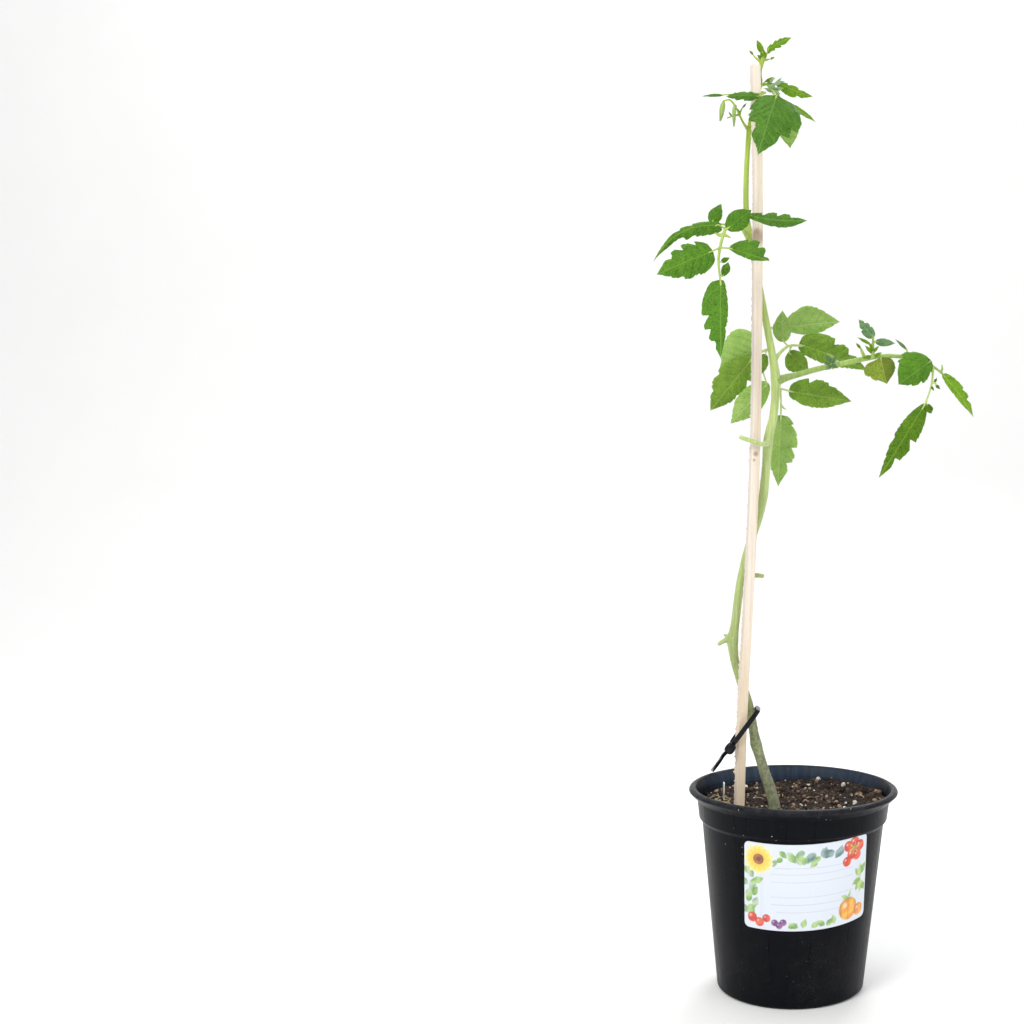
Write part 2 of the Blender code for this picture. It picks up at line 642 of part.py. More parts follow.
def build_upper_leaf(green, dark, stem_look):
    pieces = {
        "a": ((-70.0, -46.0, 611.5), (-65.0, -44.0, 624.5)),
        "b": ((-67.0, -47.0, 607.5), (-115.0, -66.0, 575.0)),
        "c": ((-71.5, -58.0, 585.0), (-111.0, -76.0, 564.5)),
        "d": ((-59.0, -43.5, 606.0), (-41.0, -38.0, 621.5)),
        "e": ((-42.0, -34.0, 616.0), (3.0, -46.0, 614.5)),
        "f": ((-56.0, -57.0, 588.0), (-25.5, -68.0, 577.5)),
        "g": ((-63.0, -62.0, 560.5), (-61.0, -75.0, 501.5)),
        "h": ((-63.0, -55.0, 578.0), (-56.5, -56.0, 581.0)),
        "i": ((-61.6, -58.8, 566.6), (-57.4, -60.0, 577.0)),
    }
    branches = [
        petiolule((-60.0, -40.0, 609.0), *pieces["a"], via=(-66.0, -45.0, 609.0)),
        petiolule((-60.8, -41.8, 605.5), *pieces["b"]),
        petiolule((-64.5, -50.5, 589.5), *pieces["c"]),
        petiolule((-61.5, -42.5, 605.0), *pieces["d"]),
        petiolule((-53.8, -30.0, 612.0), *pieces["e"], via=(-48.0, -31.0, 614.6)),
        petiolule((-64.5, -50.5, 589.5), *pieces["f"]),
        petiolule((-65.3, -54.5, 578.5), *pieces["h"], radius=0.5),
        petiolule((-64.3, -59.2, 568.0), *pieces["i"], radius=0.5),
        [(-62.4, -44.6, 600.8, 0.7), (-65.5, -46.0, 600.0, 1.4), (-69.0, -47.0, 601.5, 0.4)],
        [(-62.4, -44.6, 600.8, 0.7), (-60.0, -46.5, 599.5, 1.2), (-56.5, -47.0, 598.0, 0.4)],
    ]
    path = [
        (-42.5, -9.0, 601.0, 1.9),
        (-46.5, -15.5, 606.5, 1.7),
        (-51.0, -25.0, 611.5, 1.5),
        (-57.0, -35.5, 611.5, 1.4),
        (-61.5, -43.0, 604.0, 1.3),
        (-64.5, -50.0, 590.0, 1.2),
        (-65.3, -55.0, 577.5, 1.0),
        (-63.0, -61.9, 561.2, 0.8),
    ]
    stalk("upper_leaf_stalk", path, branches, stem_look, STEM_PATH)
    leaflet("upper_leaflet_a", *pieces["a"], 5.6, 4.6, green, fold=25.0, bow=1.0, stations=6)
    leaflet("upper_leaflet_b", *pieces["b"], 8.5, 3.4, green, fold=26.0, bow=1.5, sweep=-9.0, peak=0.24,
            lobes_right=((0.3, 1.0, 0.05),))
    leaflet("upper_leaflet_c", *pieces["c"], 14.0, 14.5, green, fold=10.0, bow=2.0, peak=0.36, blunt=0.4,
            lobes_left=((0.36, 1.4, 0.06), (0.62, 1.4, 0.06)),
            lobes_right=((0.2, 3.4, 0.05), (0.44, 3.6, 0.06), (0.66, 1.8, 0.06)))
    leaflet("upper_leaflet_d", *pieces["d"], 9.0, 8.5, green, fold=12.0, bow=1.0, peak=0.44, stations=8)
    leaflet("upper_leaflet_e", *pieces["e"], 5.4, 4.4, dark, tilt=25.0, fold=20.0, sweep=-2.8, peak=0.3,
            lobes_left=((0.42, 2.8, 0.05),))
    leaflet("upper_leaflet_f", *pieces["f"], 13.0, 4.0, green, fold=12.0, bow=2.0, peak=0.5,
            lobes_left=((0.36, 3.0, 0.06), (0.66, 3.6, 0.06), (0.86, 2.4, 0.05)))
    leaflet("upper_leaflet_g", *pieces["g"], 6.0, 15.5, green, fold=14.0, bow=3.0, peak=0.36, blunt=0.4,
            lobes_left=((0.6, 0.6, 0.05),),
            lobes_right=((0.46, 5.5, 0.05), (0.64, 3.0, 0.05), (0.8, 1.8, 0.05)))
    leaflet("upper_leaflet_h", *pieces["h"], 2.2, 2.2, green, stations=5)
    leaflet("upper_leaflet_i", *pieces["i"], 3.4, 4.0, green, peak=0.5, stations=6)


def build_back_leaf(green, light, stem_look):
    pieces = {
        "a": ((-36.0, 34.0, 521.0), (-70.0, 56.0, 498.0)),
        "b": ((-41.5, 32.0, 508.0), (-76.0, 46.0, 465.5)),
        "c": ((-28.5, 24.0, 487.0), (-58.0, 34.0, 454.5)),
        "d": ((-29.5, 15.0, 511.0), (-33.0, 22.0, 495.5)),
    }
    branches = [
        petiolule((-35.5, 22.0, 513.0), *pieces["a"]),
        petiolule((-35.5, 22.0, 513.0), *pieces["c"], via=(-32.0, 26.0, 500.0)),
        petiolule((-28.0, 4.0, 514.5), *pieces["d"], radius=0.55),
    ]
    path = [
        (-23.6, -9.0, 512.0, 1.7),
        (-26.0, -1.0, 514.5, 1.4),
        (-31.0, 10.0, 514.0, 1.2),
        (-35.5, 22.0, 513.0, 1.1),
        (-41.0, 31.5, 508.7, 0.9),
    ]
    stalk("back_leaf_stalk", path, branches, stem_look, STEM_PATH)
    leaflet("back_leaflet_a", *pieces["a"], 8.0, 24.0, light, fold=14.0, bow=-2.0, peak=0.42, blunt=0.45)
    leaflet("back_leaflet_b", *pieces["b"], 12.5, 17.0, green, fold=12.0, bow=3.0, peak=0.44,
            lobes_left=((0.3, 2.6, 0.06), (0.55, 1.4, 0.06)),
            lobes_right=((0.5, 2.0, 0.06), (0.74, 1.0, 0.05)))
    leaflet("back_leaflet_c", *pieces["c"], 11.0, 12.0, light, fold=12.0, bow=2.0, peak=0.44)
    leaflet("back_leaflet_d", *pieces["d"], 4.5, 7.5, green, stations=7, peak=0.45)


def build_right_leaves(green, light, stem_look):
    pieces = {
        "a": ((-15.0, 20.0, 524.0), (-16.2, 27.0, 549.5)),
        "b": ((1.0, 28.0, 521.0), (56.5, 42.0, 501.5)),
        "c": ((-8.5, 18.0, 514.2), (6.0, 26.0, 503.5)),
    }
    branches = [
        petiolule((-10.5, 12.5, 518.5), *pieces["a"]),
        petiolule((-8.0, 14.0, 519.0), *pieces["c"]),
    ]
    path = [
        (-21.4, -9.2, 505.5, 1.6),
        (-16.5, 2.0, 513.0, 1.3),
        (-9.5, 13.0, 519.0, 1.1),
        (0.5, 27.7, 520.2, 0.9),
    ]
    stalk("right_leaf_stalk", path, branches, stem_look, STEM_PATH)
    leaflet("right_leaflet_a", *pieces["a"], 9.0, 7.5, light, fold=12.0, bow=-1.5, peak=0.42, stations=8)
    leaflet("right_leaflet_b", *pieces["b"], 15.5, 9.0, green, fold=10.0, bow=2.0, sweep=0.5, peak=0.32,
            lobes_left=((0.45, 4.0, 0.06), (0.68, 2.6, 0.05)), lobes_right=((0.5, 1.2, 0.05),))
    leaflet("right_leaflet_c", *pieces["c"], 7.6, 11.5, green, fold=12.0, bow=1.5, peak=0.42, stations=8)
    high = ((-11.5, 32.0, 536.0), (32.5, 46.0, 542.5))
    path = [
        (-25.8, -8.7, 531.0, 1.3),
        (-27.0, 8.0, 533.5, 1.0),
        (-25.5, 27.0, 535.0, 0.9),
        (-17.5, 34.0, 536.0, 0.9),
        (-12.4, 32.0, 535.9, 0.8),
    ]
    stalk("high_leaf_stalk", path, [], stem_look, STEM_PATH)
    leaflet("high_leaflet", *high, 16.5, 9.0, light, fold=12.0, bow=-3.0, sweep=1.0, peak=0.46,
            lobes_left=((0.22, 1.2, 0.05),))


def build_lower_leaf(green, light, stem_look):
    pieces = {
        "a": ((-7.0, 21.0, 481.5), (43.0, 34.0, 475.0)),
        "b": ((-15.8, 10.0, 459.0), (-17.0, 15.0, 403.0)),
    }
    branches = [
        [(-16.5, 4.0, 482.8, 0.8), (-15.8, 7.0, 474.0, 0.8), (-15.6, 9.6, 459.0, 0.8)],
        [(-15.8, 7.6, 470.0, 0.6), (-13.5, 8.5, 467.5, 0.7), (-11.5, 9.0, 466.5, 0.4)],
    ]
    path = [
        (-19.3, -10.2, 480.0, 1.4),
        (-18.5, -2.0, 482.5, 1.2),
        (-15.0, 8.0, 483.0, 1.0),
        (-7.6, 20.6, 481.7, 0.8),
    ]
    stalk("lower_leaf_stalk", path, branches, stem_look, STEM_PATH)
    leaflet("lower_leaflet_a", *pieces["a"], 14.5, 10.5, green, fold=12.0, bow=2.0, peak=0.38,
            lobes_left=((0.3, 4.0, 0.06), (0.62, 1.2, 0.05)), lobes_right=((0.1, 1.0, 0.04),))
    leaflet("lower_leaflet_b", *pieces["b"], 15.0, 12.5, light, fold=12.0, bow=-2.0, peak=0.36,
            lobes_left=((0.12, 3.0, 0.04), (0.46, 4.0, 0.05), (0.68, 3.0, 0.05)),
            lobes_right=((0.6, 1.5, 0.06),))


def build_shoot_leaves(young, green, dark, brown, stem_look):
    tip_up = ((58.6, 12.0, 527.5), (47.0, 16.0, 542.0))
    tip_right = ((61.5, 12.0, 523.5), (77.0, 8.0, 522.0))
    tip_left = ((56.5, 12.2, 521.5), (46.0, 14.0, 527.0))
    folded = ((65.5, 7.6, 509.0), (70.5, 3.0, 488.5))
    broad = ((105.5, 6.5, 507.5), (79.5, -2.0, 488.0))
    thin = ((86.5, 12.2, 517.8), (77.0, 12.0, 526.0))
    end = ((118.0, 12.0, 496.2), (143.0, 16.0, 463.0))
    leaflet("shoot_tip_leaflet_up", *tip_up, 5.2, 4.8, dark, fold=20.0, bow=1.0, stations=7)
    leaflet("shoot_tip_leaflet_right", *tip_right, 3.2, 3.2, dark, fold=20.0, bow=1.0, stations=7)
    leaflet("shoot_tip_leaflet_left", *tip_left, 1.5, 1.5, young, stations=5)
    leaflet("shoot_leaflet_folded", *folded, 11.5, 11.5, brown, fold=22.0, bow=2.0, peak=0.4)
    leaflet("shoot_leaflet_broad", *broad, 11.5, 19.0, green, fold=12.0, bow=2.0, peak=0.42,
            lobes_left=((0.16, 1.6, 0.05),), lobes_right=((0.22, 2.0, 0.05),))
    leaflet("shoot_leaflet_thin", *thin, 1.4, 1.4, dark, stations=5)
    leaflet("shoot_leaflet_end", *end, 6.6, 4.2, young, fold=16.0, bow=1.0, sweep=1.5, peak=0.38,
            lobes_left=((0.45, 1.4, 0.05), (0.66, 1.4, 0.05)))
    hanging = ((101.0, 7.0, 470.5), (65.0, 3.0, 411.5))
    small = ((104.0, 7.8, 472.5), (107.5, 7.0, 465.0))
    path = [
        (108.5, 12.0, 504.0, 1.0),
        (108.3, 11.4, 494.0, 0.9),
        (106.0, 9.5, 483.0, 0.8),
        (101.3, 7.0, 471.2, 0.7),
    ]
    branches = [
        petiolule((103.6, 8.2, 476.5), *small, radius=0.5),
        [(107.6, 10.8, 490.0, 0.6), (110.0, 10.5, 490.5, 0.9), (112.0, 10.5, 488.0, 0.4)],
    ]
    stalk("hanging_stalk", path, branches, stem_look, SIDE_SHOOT_PATH)
    leaflet("hanging_leaflet", *hanging, 10.5, 8.6, green, fold=10.0, bow=2.0, peak=0.38, blunt=0.8,
            lobes_left=((0.44, 5.0, 0.05), (0.72, 2.6, 0.05)), lobes_right=((0.5, 1.0, 0.05),))
    leaflet("hanging_leaflet_round", *small, 3.2, 3.2, dark, stations=5)


def main():
    clear_scene()
    pot_look = material("black_plastic", (0.022, 0.024, 0.028), 0.5)
    soil_look = material("potting_mix", (0.055, 0.035, 0.024), 0.95)
    label_look = material("printed_paper", (0.86, 0.89, 0.94), 0.45)
    wood_look = material("pale_wood", (0.80, 0.66, 0.50), 0.7)
    tie_look = material("black_nylon", (0.010, 0.011, 0.014), 0.35)
    white_look = material("white_plastic", (0.85, 0.85, 0.84), 0.4)
    stem_look = material("stem_green", (0.36, 0.50, 0.16), 0.55)
    shoot_look = material("shoot_green", (0.36, 0.55, 0.10), 0.55)
    leaf_look = material("leaf_green", (0.12, 0.34, 0.035), 0.5)
    dark_look = material("leaf_dark", (0.08, 0.25, 0.045), 0.5)
    light_look = material("leaf_light", (0.25, 0.47, 0.11), 0.5)
    young_look = material("leaf_young", (0.22, 0.42, 0.02), 0.5)
    brown_look = material("leaf_olive", (0.23, 0.33, 0.06), 0.55)
    bud_look = material("bud_green", (0.28, 0.45, 0.09), 0.55)
    build_pot(pot_look)
    build_soil(soil_look)
    build_label(label_look)
    build_small_parts(wood_look, white_look)
    build_cable_tie(tie_look)
    build_stems(stem_look, shoot_look)
    build_top_leaves(young_look, dark_look, light_look, stem_look)
    build_buds(stem_look, bud_look)
    build_upper_leaf(leaf_look, dark_look, stem_look)
    build_back_leaf(leaf_look, light_look, stem_look)
    build_right_leaves(leaf_look, light_look, stem_look)
    build_lower_leaf(leaf_look, light_look, stem_look)
    build_shoot_leaves(young_look, leaf_look, dark_look, brown_look, stem_look)
    whole = bpy.data.objects.new("tomato_plant", None)
    bpy.context.scene.collection.objects.link(whole)
    for item in list(bpy.data.objects):
        if item.type == "MESH":
            item.parent = whole


main()
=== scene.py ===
"""The looks of a young tomato plant tied to a stake in a nursery pot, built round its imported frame.

Lengths in the tables are millimetres and meshes are made in metres, +Z up and -Y to the front.
"""

import math
import random

import bpy
import numpy as np
from mathutils import Matrix, Vector, noise


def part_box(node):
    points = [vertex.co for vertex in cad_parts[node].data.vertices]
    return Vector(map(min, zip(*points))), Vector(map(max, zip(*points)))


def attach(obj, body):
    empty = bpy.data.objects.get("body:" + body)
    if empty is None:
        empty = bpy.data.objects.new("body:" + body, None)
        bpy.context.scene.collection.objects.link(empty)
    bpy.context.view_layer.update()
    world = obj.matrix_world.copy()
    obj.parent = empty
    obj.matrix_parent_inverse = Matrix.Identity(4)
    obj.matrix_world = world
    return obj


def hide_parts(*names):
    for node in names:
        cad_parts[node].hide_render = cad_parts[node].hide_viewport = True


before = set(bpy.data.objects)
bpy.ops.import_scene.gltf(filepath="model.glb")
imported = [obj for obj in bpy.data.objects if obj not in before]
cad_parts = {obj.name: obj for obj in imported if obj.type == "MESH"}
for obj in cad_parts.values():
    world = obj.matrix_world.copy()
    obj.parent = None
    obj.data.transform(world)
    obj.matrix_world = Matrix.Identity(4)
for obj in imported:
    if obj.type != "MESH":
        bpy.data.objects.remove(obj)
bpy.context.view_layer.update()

MM = 0.001

# Sizes shared with the part

POT_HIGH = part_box("pot")[1]
POT_HEIGHT = POT_HIGH.z / MM
RIM_RADIUS = POT_HIGH.x / MM
BASE_RADIUS = 59.3
BODY_TOP_RADIUS = 73.6
BODY_TOP_Z = 133.0
COLLAR_LOW_Z = 136.0
COLLAR_RADIUS = 76.2
COLLAR_TOP_RADIUS = 78.0
LIP_LOW_Z = 153.0
WALL = 1.8
FLOOR_UNDER_Z = 3.4
FLOOR_TOP_Z = 5.4
FOOT_RING_INNER = 51.0
FOOT_PAD_RADIUS = 8.0
DRAIN_HOLES = 6
DRAIN_RADIUS = 4.5
DRAIN_CIRCLE = 40.0
SOIL_Z = 146.0
SOIL_RADIUS = 74.1

LABEL_WIDTH = 104.0
LABEL_HEIGHT = 68.5
LABEL_THICK = 0.5
LABEL_GAP = 0.3
LABEL_CENTRE_ANGLE = 11.5
LABEL_CENTRE_Z = 97.7
LABEL_TILT = 2.0
LABEL_CORNER = 4.0

STAKE_WIDTH = 6.9
STAKE_DEPTH = 6.4
STAKE_TURN = 20.0

STRAP_WIDTH = 3.9
STRAP_THICK = 1.2

# Centre line of the stake: x, y, z.
STAKE_PATH = [
    (-44.0, -22.0, 46.0),
    (-43.0, -22.0, 150.0),
    (-41.8, -21.5, 226.0),
    (-39.0, -21.0, 303.0),
    (-36.6, -20.0, 380.0),
    (-35.3, -19.5, 457.0),
    (-35.9, -18.5, 553.0),
    (-37.2, -18.0, 650.0),
    (-40.8, -17.0, 741.0),
]

# Centre line of the main stem: x, y, z, radius.
STEM_PATH = [
    (-14.0, -18.0, 126.0, 4.6),
    (-14.5, -18.0, 144.0, 4.6),
    (-18.0, -17.0, 159.0, 4.3),
    (-24.2, -15.0, 176.0, 4.1),
    (-28.6, -13.0, 189.0, 4.2),
    (-30.9, -12.0, 196.0, 4.7),
    (-32.4, -11.2, 203.0, 3.9),
    (-34.2, -10.5, 212.0, 3.8),
    (-37.5, -9.5, 227.0, 3.8),
    (-43.0, -9.5, 243.0, 3.8),
    (-48.8, -10.5, 261.0, 3.6),
    (-50.6, -11.0, 272.0, 4.1),
    (-51.2, -11.0, 279.0, 4.8),
    (-50.4, -11.0, 286.0, 4.0),
    (-48.9, -11.0, 297.0, 3.5),
    (-46.5, -10.0, 320.0, 3.5),
    (-42.0, -9.0, 344.0, 3.5),
    (-36.5, -8.8, 364.0, 3.5),
    (-31.5, -9.5, 381.0, 3.6),
    (-28.5, -10.0, 397.0, 3.8),
    (-26.6, -11.0, 420.0, 3.5),
    (-25.2, -11.5, 441.0, 4.0),
    (-21.8, -11.5, 458.0, 3.5),
    (-20.3, -10.5, 474.0, 3.4),
    (-20.2, -10.0, 490.0, 4.0),
    (-23.0, -9.0, 508.0, 3.2),
    (-30.0, -8.5, 542.0, 2.9),
    (-37.4, -8.5, 578.0, 2.7),
    (-42.8, -9.0, 604.0, 2.8),
    (-46.2, -9.5, 624.0, 2.4),
    (-46.8, -9.5, 650.0, 2.2),
    (-46.0, -9.0, 676.0, 2.1),
    (-44.6, -8.5, 692.0, 2.4),
    (-41.0, -8.0, 712.0, 1.9),
    (-37.0, -8.0, 728.0, 1.9),
    (-37.2, -8.8, 738.0, 1.5),
    (-35.5, -10.0, 746.5, 1.8),
    (-35.0, -11.0, 752.0, 1.4),
]

# Pruned side stubs and young tip stalks of the main stem: x, y, z, radius.
STEM_STUBS = [
    [
        (-25.2, -11.5, 440.0, 2.0),
        (-26.4, -21.0, 437.5, 2.0),
        (-31.0, -28.6, 437.5, 1.9),
        (-47.0, -29.5, 442.5, 1.7),
    ],
    [(-43.5, -9.5, 331.0, 1.9), (-33.0, -9.8, 331.5, 1.9), (-28.0, -10.0, 331.0, 1.8)],
    [(-50.4, -11.0, 279.0, 1.8), (-57.0, -13.0, 279.0, 1.7), (-62.0, -14.0, 276.0, 1.6)],
    [(-52.0, -11.5, 280.0, 1.5), (-56.0, -12.5, 282.5, 1.2), (-58.0, -13.0, 283.5, 0.8)],
    [(-35.3, -9.8, 745.0, 0.9), (-40.0, -11.0, 748.0, 0.9), (-43.5, -12.0, 751.5, 0.4)],
    [(-35.3, -9.8, 747.0, 0.9), (-31.5, -9.0, 748.0, 0.8), (-28.6, -9.0, 748.5, 0.4)],
    [(-35.0, -10.5, 749.0, 1.0), (-31.6, -9.8, 753.2, 0.9), (-30.3, -9.4, 757.5, 0.6)],
    [(-35.0, -11.0, 750.0, 1.0), (-35.5, -11.6, 754.0, 0.6)],
]

SIDE_SHOOT_PATH = [
    (-20.2, -10.2, 488.0, 3.1),
    (-12.0, -7.0, 491.4, 2.6),
    (-2.0, -1.0, 494.6, 2.4),
    (12.0, 4.0, 499.2, 2.3),
    (30.0, 8.0, 503.8, 2.2),
    (49.0, 10.0, 508.4, 2.1),
    (66.0, 11.0, 511.5, 1.9),
    (84.0, 12.0, 511.5, 1.7),
    (100.0, 12.0, 508.5, 1.4),
    (110.0, 12.0, 503.0, 1.1),
    (116.6, 12.0, 498.0, 0.9),
]


# Node trees


class Tree:
    """A node tree being built. Each method adds a node and returns the output that matters."""

    def __init__(self, tree):
        self.tree = tree

    def node(self, kind, inputs=None, **settings):
        made = self.tree.nodes.new(kind)
        for key, value in settings.items():
            setattr(made, key, value)
        for key, value in (inputs or {}).items():
            self.feed(made.inputs[key], value)
        return made

    def feed(self, socket, value):
        if isinstance(value, bpy.types.NodeSocket):
            self.tree.links.new(value, socket)
        elif value is not None:
            socket.default_value = value

    def math(self, operation, a, b=None, clamp=False):
        return self.node("ShaderNodeMath", {0: a, 1: b}, operation=operation, use_clamp=clamp).outputs[0]

    def plus(self, a, b, clamp=False):
        return self.math("ADD", a, b, clamp)

    def minus(self, a, b):
        return self.math("SUBTRACT", a, b)

    def times(self, a, b, clamp=False):
        return self.math("MULTIPLY", a, b, clamp)

    def mix(self, share, a, b, blend="MIX"):
        values = {0: share, 6: a, 7: b}
        return self.node("ShaderNodeMix", values, data_type="RGBA", blend_type=blend).outputs[2]

    def noise(self, vector, scale, detail=3.0, rough=0.55, warp=0.0):
        values = {"Vector": vector, "Scale": scale, "Detail": detail, "Roughness": rough, "Distortion": warp}
        return self.node("ShaderNodeTexNoise", values).outputs[0]

    def cells(self, vector, scale, feature="F1", dimensions="3D"):
        made = self.node("ShaderNodeTexVoronoi", feature=feature, voronoi_dimensions=dimensions)
        self.feed(made.inputs["Vector"], vector)
        self.feed(made.inputs["Scale"], scale)
        return made.outputs["Distance"]

    def between(self, value, low, high, first=0.0, last=1.0, smooth=True):
        """Value carried from the range low..high to first..last, and held at its ends."""
        kind = "SMOOTHSTEP" if smooth else "LINEAR"
        numbers = dict(enumerate((value, low, high, first, last)))
        return self.node("ShaderNodeMapRange", numbers, interpolation_type=kind).outputs[0]

    def stretched(self, vector, scale):
        return self.node("ShaderNodeMapping", {"Vector": vector, "Scale": scale}).outputs[0]

    def scaled(self, vector, scale):
        return self.node("ShaderNodeVectorMath", {0: vector, "Scale": scale}, operation="SCALE").outputs[0]

    def apart(self, vector):
        return self.node("ShaderNodeSeparateXYZ", {0: vector}).outputs

    def point(self, x, y, z=0.0):
        return self.node("ShaderNodeCombineXYZ", {0: x, 1: y, 2: z}).outputs[0]

    def bump(self, height, distance, strength):
        values = {"Height": height, "Distance": distance, "Strength": strength}
        return self.node("ShaderNodeBump", values).outputs[0]

    def attribute(self, name):
        return self.node("ShaderNodeAttribute", attribute_name=name)

    def group(self, tree, **values):
        made = self.node("ShaderNodeGroup", node_tree=tree)
        for key, value in values.items():
            self.feed(made.inputs[key.replace("_", " ").capitalize()], value)
        return made.outputs


def rgb(red, green, blue):
    return (red, green, blue, 1.0)


def shaded(colour, share):
    return rgb(*[part * share for part in colour])


def socket_name(key):
    return key.replace("_", " ").title().replace("Ior", "IOR")


class Finish(Tree):
    """A material with one Principled shader."""

    def __init__(self, name, roughness=0.5, **constants):
        self.material = bpy.data.materials.new(name)
        self.material.use_nodes = True
        super().__init__(self.material.node_tree)
        self.shader = self.tree.nodes["Principled BSDF"]
        self.shader.inputs["Roughness"].default_value = roughness
        for key, value in constants.items():
            self.shader.inputs[socket_name(key)].default_value = value

    def place(self):
        return self.node("ShaderNodeTexCoord").outputs["Object"]

    def put(self, **sockets):
        for key, value in sockets.items():
            self.feed(self.shader.inputs[socket_name(key)], value)
        return self.material


def shader_group(name, inputs, outputs):
    """An empty shader group with named sockets, and the tree builder for it."""
    made = bpy.data.node_groups.new(name, "ShaderNodeTree")
    for key, kind, value in inputs:
        socket = made.interface.new_socket(key, in_out="INPUT", socket_type="NodeSocket" + kind)
        if value is not None:
            socket.default_value = value
    for key, kind in outputs:
        made.interface.new_socket(key, in_out="OUTPUT", socket_type="NodeSocket" + kind)
    builder = Tree(made)
    entry = builder.node("NodeGroupInput").outputs
    leave = builder.node("NodeGroupOutput").inputs
    return made, builder, entry, leave


# How a side vein leaves the midrib: forward slope, and how it bends on towards the tip.
VEIN_SLOPE = 0.7
VEIN_BEND = 0.1


def vein_group():
    """Side veins, midrib and the fine net between them, on a map whose unit is one vein spacing."""
    made, b, entry, leave = shader_group(
        "leaf_veins",
        [("Map", "Vector", None), ("Width", "Float", 0.06), ("Net", "Float", 3.6)],
        [("Veins", "Float"), ("Mesh", "Float"), ("Height", "Float")],
    )
    across, along, _ = b.apart(entry["Map"])
    away = b.math("ABSOLUTE", across)
    wander = b.minus(b.noise(entry["Map"], 0.8, 2.0), 0.5)
    bend = b.times(b.times(away, away), VEIN_BEND)
    phase = b.minus(b.minus(along, b.times(away, VEIN_SLOPE)), bend)
    phase = b.plus(phase, b.times(b.math("SIGN", across), 0.25))
    phase = b.plus(phase, b.times(wander, 0.75))
    part = b.math("FRACT", phase)
    off = b.minus(0.5, b.math("ABSOLUTE", b.minus(part, 0.5)))
    side = b.between(off, 0.0, entry["Width"], 1.0, 0.0)
    rib = b.between(away, 0.02, 0.12, 1.0, 0.0)
    veins = b.math("MAXIMUM", side, rib)
    mesh = b.cells(entry["Map"], entry["Net"], "DISTANCE_TO_EDGE", "2D")
    mesh = b.between(mesh, 0.0, 0.13, 1.0, 0.0)
    fine_scale = b.times(entry["Net"], 2.6)
    fine = b.between(b.cells(entry["Map"], fine_scale, "DISTANCE_TO_EDGE", "2D"), 0.0, 0.2, 1.0, 0.0)
    net = b.plus(b.times(mesh, 0.75), b.times(fine, 0.3), clamp=True)
    height = b.plus(b.times(veins, 0.7), b.times(net, 0.5))
    b.feed(leave["Veins"], veins)
    b.feed(leave["Mesh"], net)
    b.feed(leave["Height"], height)
    return made


def dust_group():
    """Grey dust in patches and small pale specks, for plastic that has stood outdoors."""
    made, b, entry, leave = shader_group(
        "dust",
        [("Place", "Vector", None), ("Patch", "Float", 25.0), ("Speck", "Float", 230.0)],
        [("Dust", "Float"), ("Specks", "Float")],
    )
    broad = b.noise(entry["Place"], entry["Patch"], 6.0, 0.7)
    fine = b.noise(entry["Place"], b.times(entry["Patch"], 45.0), 3.0, 0.7)
    dust = b.times(b.between(broad, 0.42, 0.75), b.between(fine, 0.4, 0.8))
    spot = b.between(b.cells(entry["Place"], entry["Speck"]), 0.05, 0.13, 1.0, 0.0)
    chosen = b.between(b.noise(entry["Place"], b.times(entry["Speck"], 0.31), 2.0), 0.54, 0.6)
    b.feed(leave["Dust"], dust)
    b.feed(leave["Specks"], b.times(spot, chosen))
    return made


def fibre_group():
    """Long fibres and pores that run up a piece of wood or a stem."""
    made, b, entry, leave = shader_group(
        "fibres",
        [("Place", "Vector", None), ("Across", "Float", 900.0), ("Along", "Float", 30.0)],
        [("Broad", "Float"), ("Fine", "Float")],
    )
    x, y, z = b.apart(entry["Place"])
    spot = b.point(b.times(x, entry["Across"]), b.times(y, entry["Across"]), b.times(z, entry["Along"]))
    b.feed(leave["Broad"], b.noise(spot, 0.35, 4.0, 0.6, 0.3))
    b.feed(leave["Fine"], b.noise(spot, 2.0, 3.0, 0.65))
    return made


VEINS = vein_group()
DUST = dust_group()
FIBRES = fibre_group()


# Finishes


def leaf_finish(name, dark, light, vein, under, gloss=0.5, glow=0.1, halves=0.12, flecks=0.85):
    """Leaf tissue: two greens in patches, paler veins, painted shade over one half of the blade, and a dull
    pale underside with raised veins.
    """
    f = Finish(name, gloss, subsurface_weight=glow, specular_ior_level=0.17)
    f.shader.inputs["Subsurface Radius"].default_value = (0.6, 1.0, 0.25)
    f.shader.inputs["Subsurface Scale"].default_value = 0.0012
    place = f.place()
    blade = f.node("ShaderNodeUVMap", uv_map="blade").outputs[0]
    back, reach, _ = f.apart(f.attribute("face").outputs["Vector"])
    veins, net, height = f.group(VEINS, map=blade)
    patch = f.noise(place, 110.0, 4.0, 0.6)
    grain = f.noise(place, 1500.0, 3.0, 0.6)
    fleck = f.noise(place, 520.0, 4.0, 0.7)
    colour = f.mix(f.between(patch, 0.3, 0.7), rgb(*dark), rgb(*light))
    colour = f.mix(f.between(fleck, 0.54, 0.36, 0.0, flecks), colour, shaded(dark, 0.5))
    colour = f.mix(f.between(grain, 0.42, 0.75, 0.0, 0.5), colour, rgb(*light))
    # Painted shade: the half of the blade on one side of the midrib is darkened by the share given in halves.
    half = f.between(f.apart(blade)[0], -0.05, 0.05, 0.0, halves)
    colour = f.mix(half, colour, shaded(dark, 0.5))
    colour = f.mix(f.times(net, 0.42), colour, rgb(*vein))
    colour = f.mix(f.times(veins, 0.5), colour, rgb(*vein))
    colour = f.mix(f.between(reach, 0.9, 1.0, 0.0, 0.3), colour, rgb(*light))
    below = f.mix(f.times(f.plus(veins, net), 0.3, clamp=True), rgb(*under), rgb(*vein))
    colour = f.mix(back, colour, below)
    side = f.minus(f.times(back, 2.0), 1.0)
    relief = f.plus(f.times(height, side), f.times(grain, 0.25))
    rough = f.plus(f.between(grain, 0.3, 0.7, gloss - 0.06, gloss + 0.1), f.times(back, 0.18))
    return f.put(base_color=colour, roughness=rough, normal=f.bump(relief, 0.0004, 0.75))


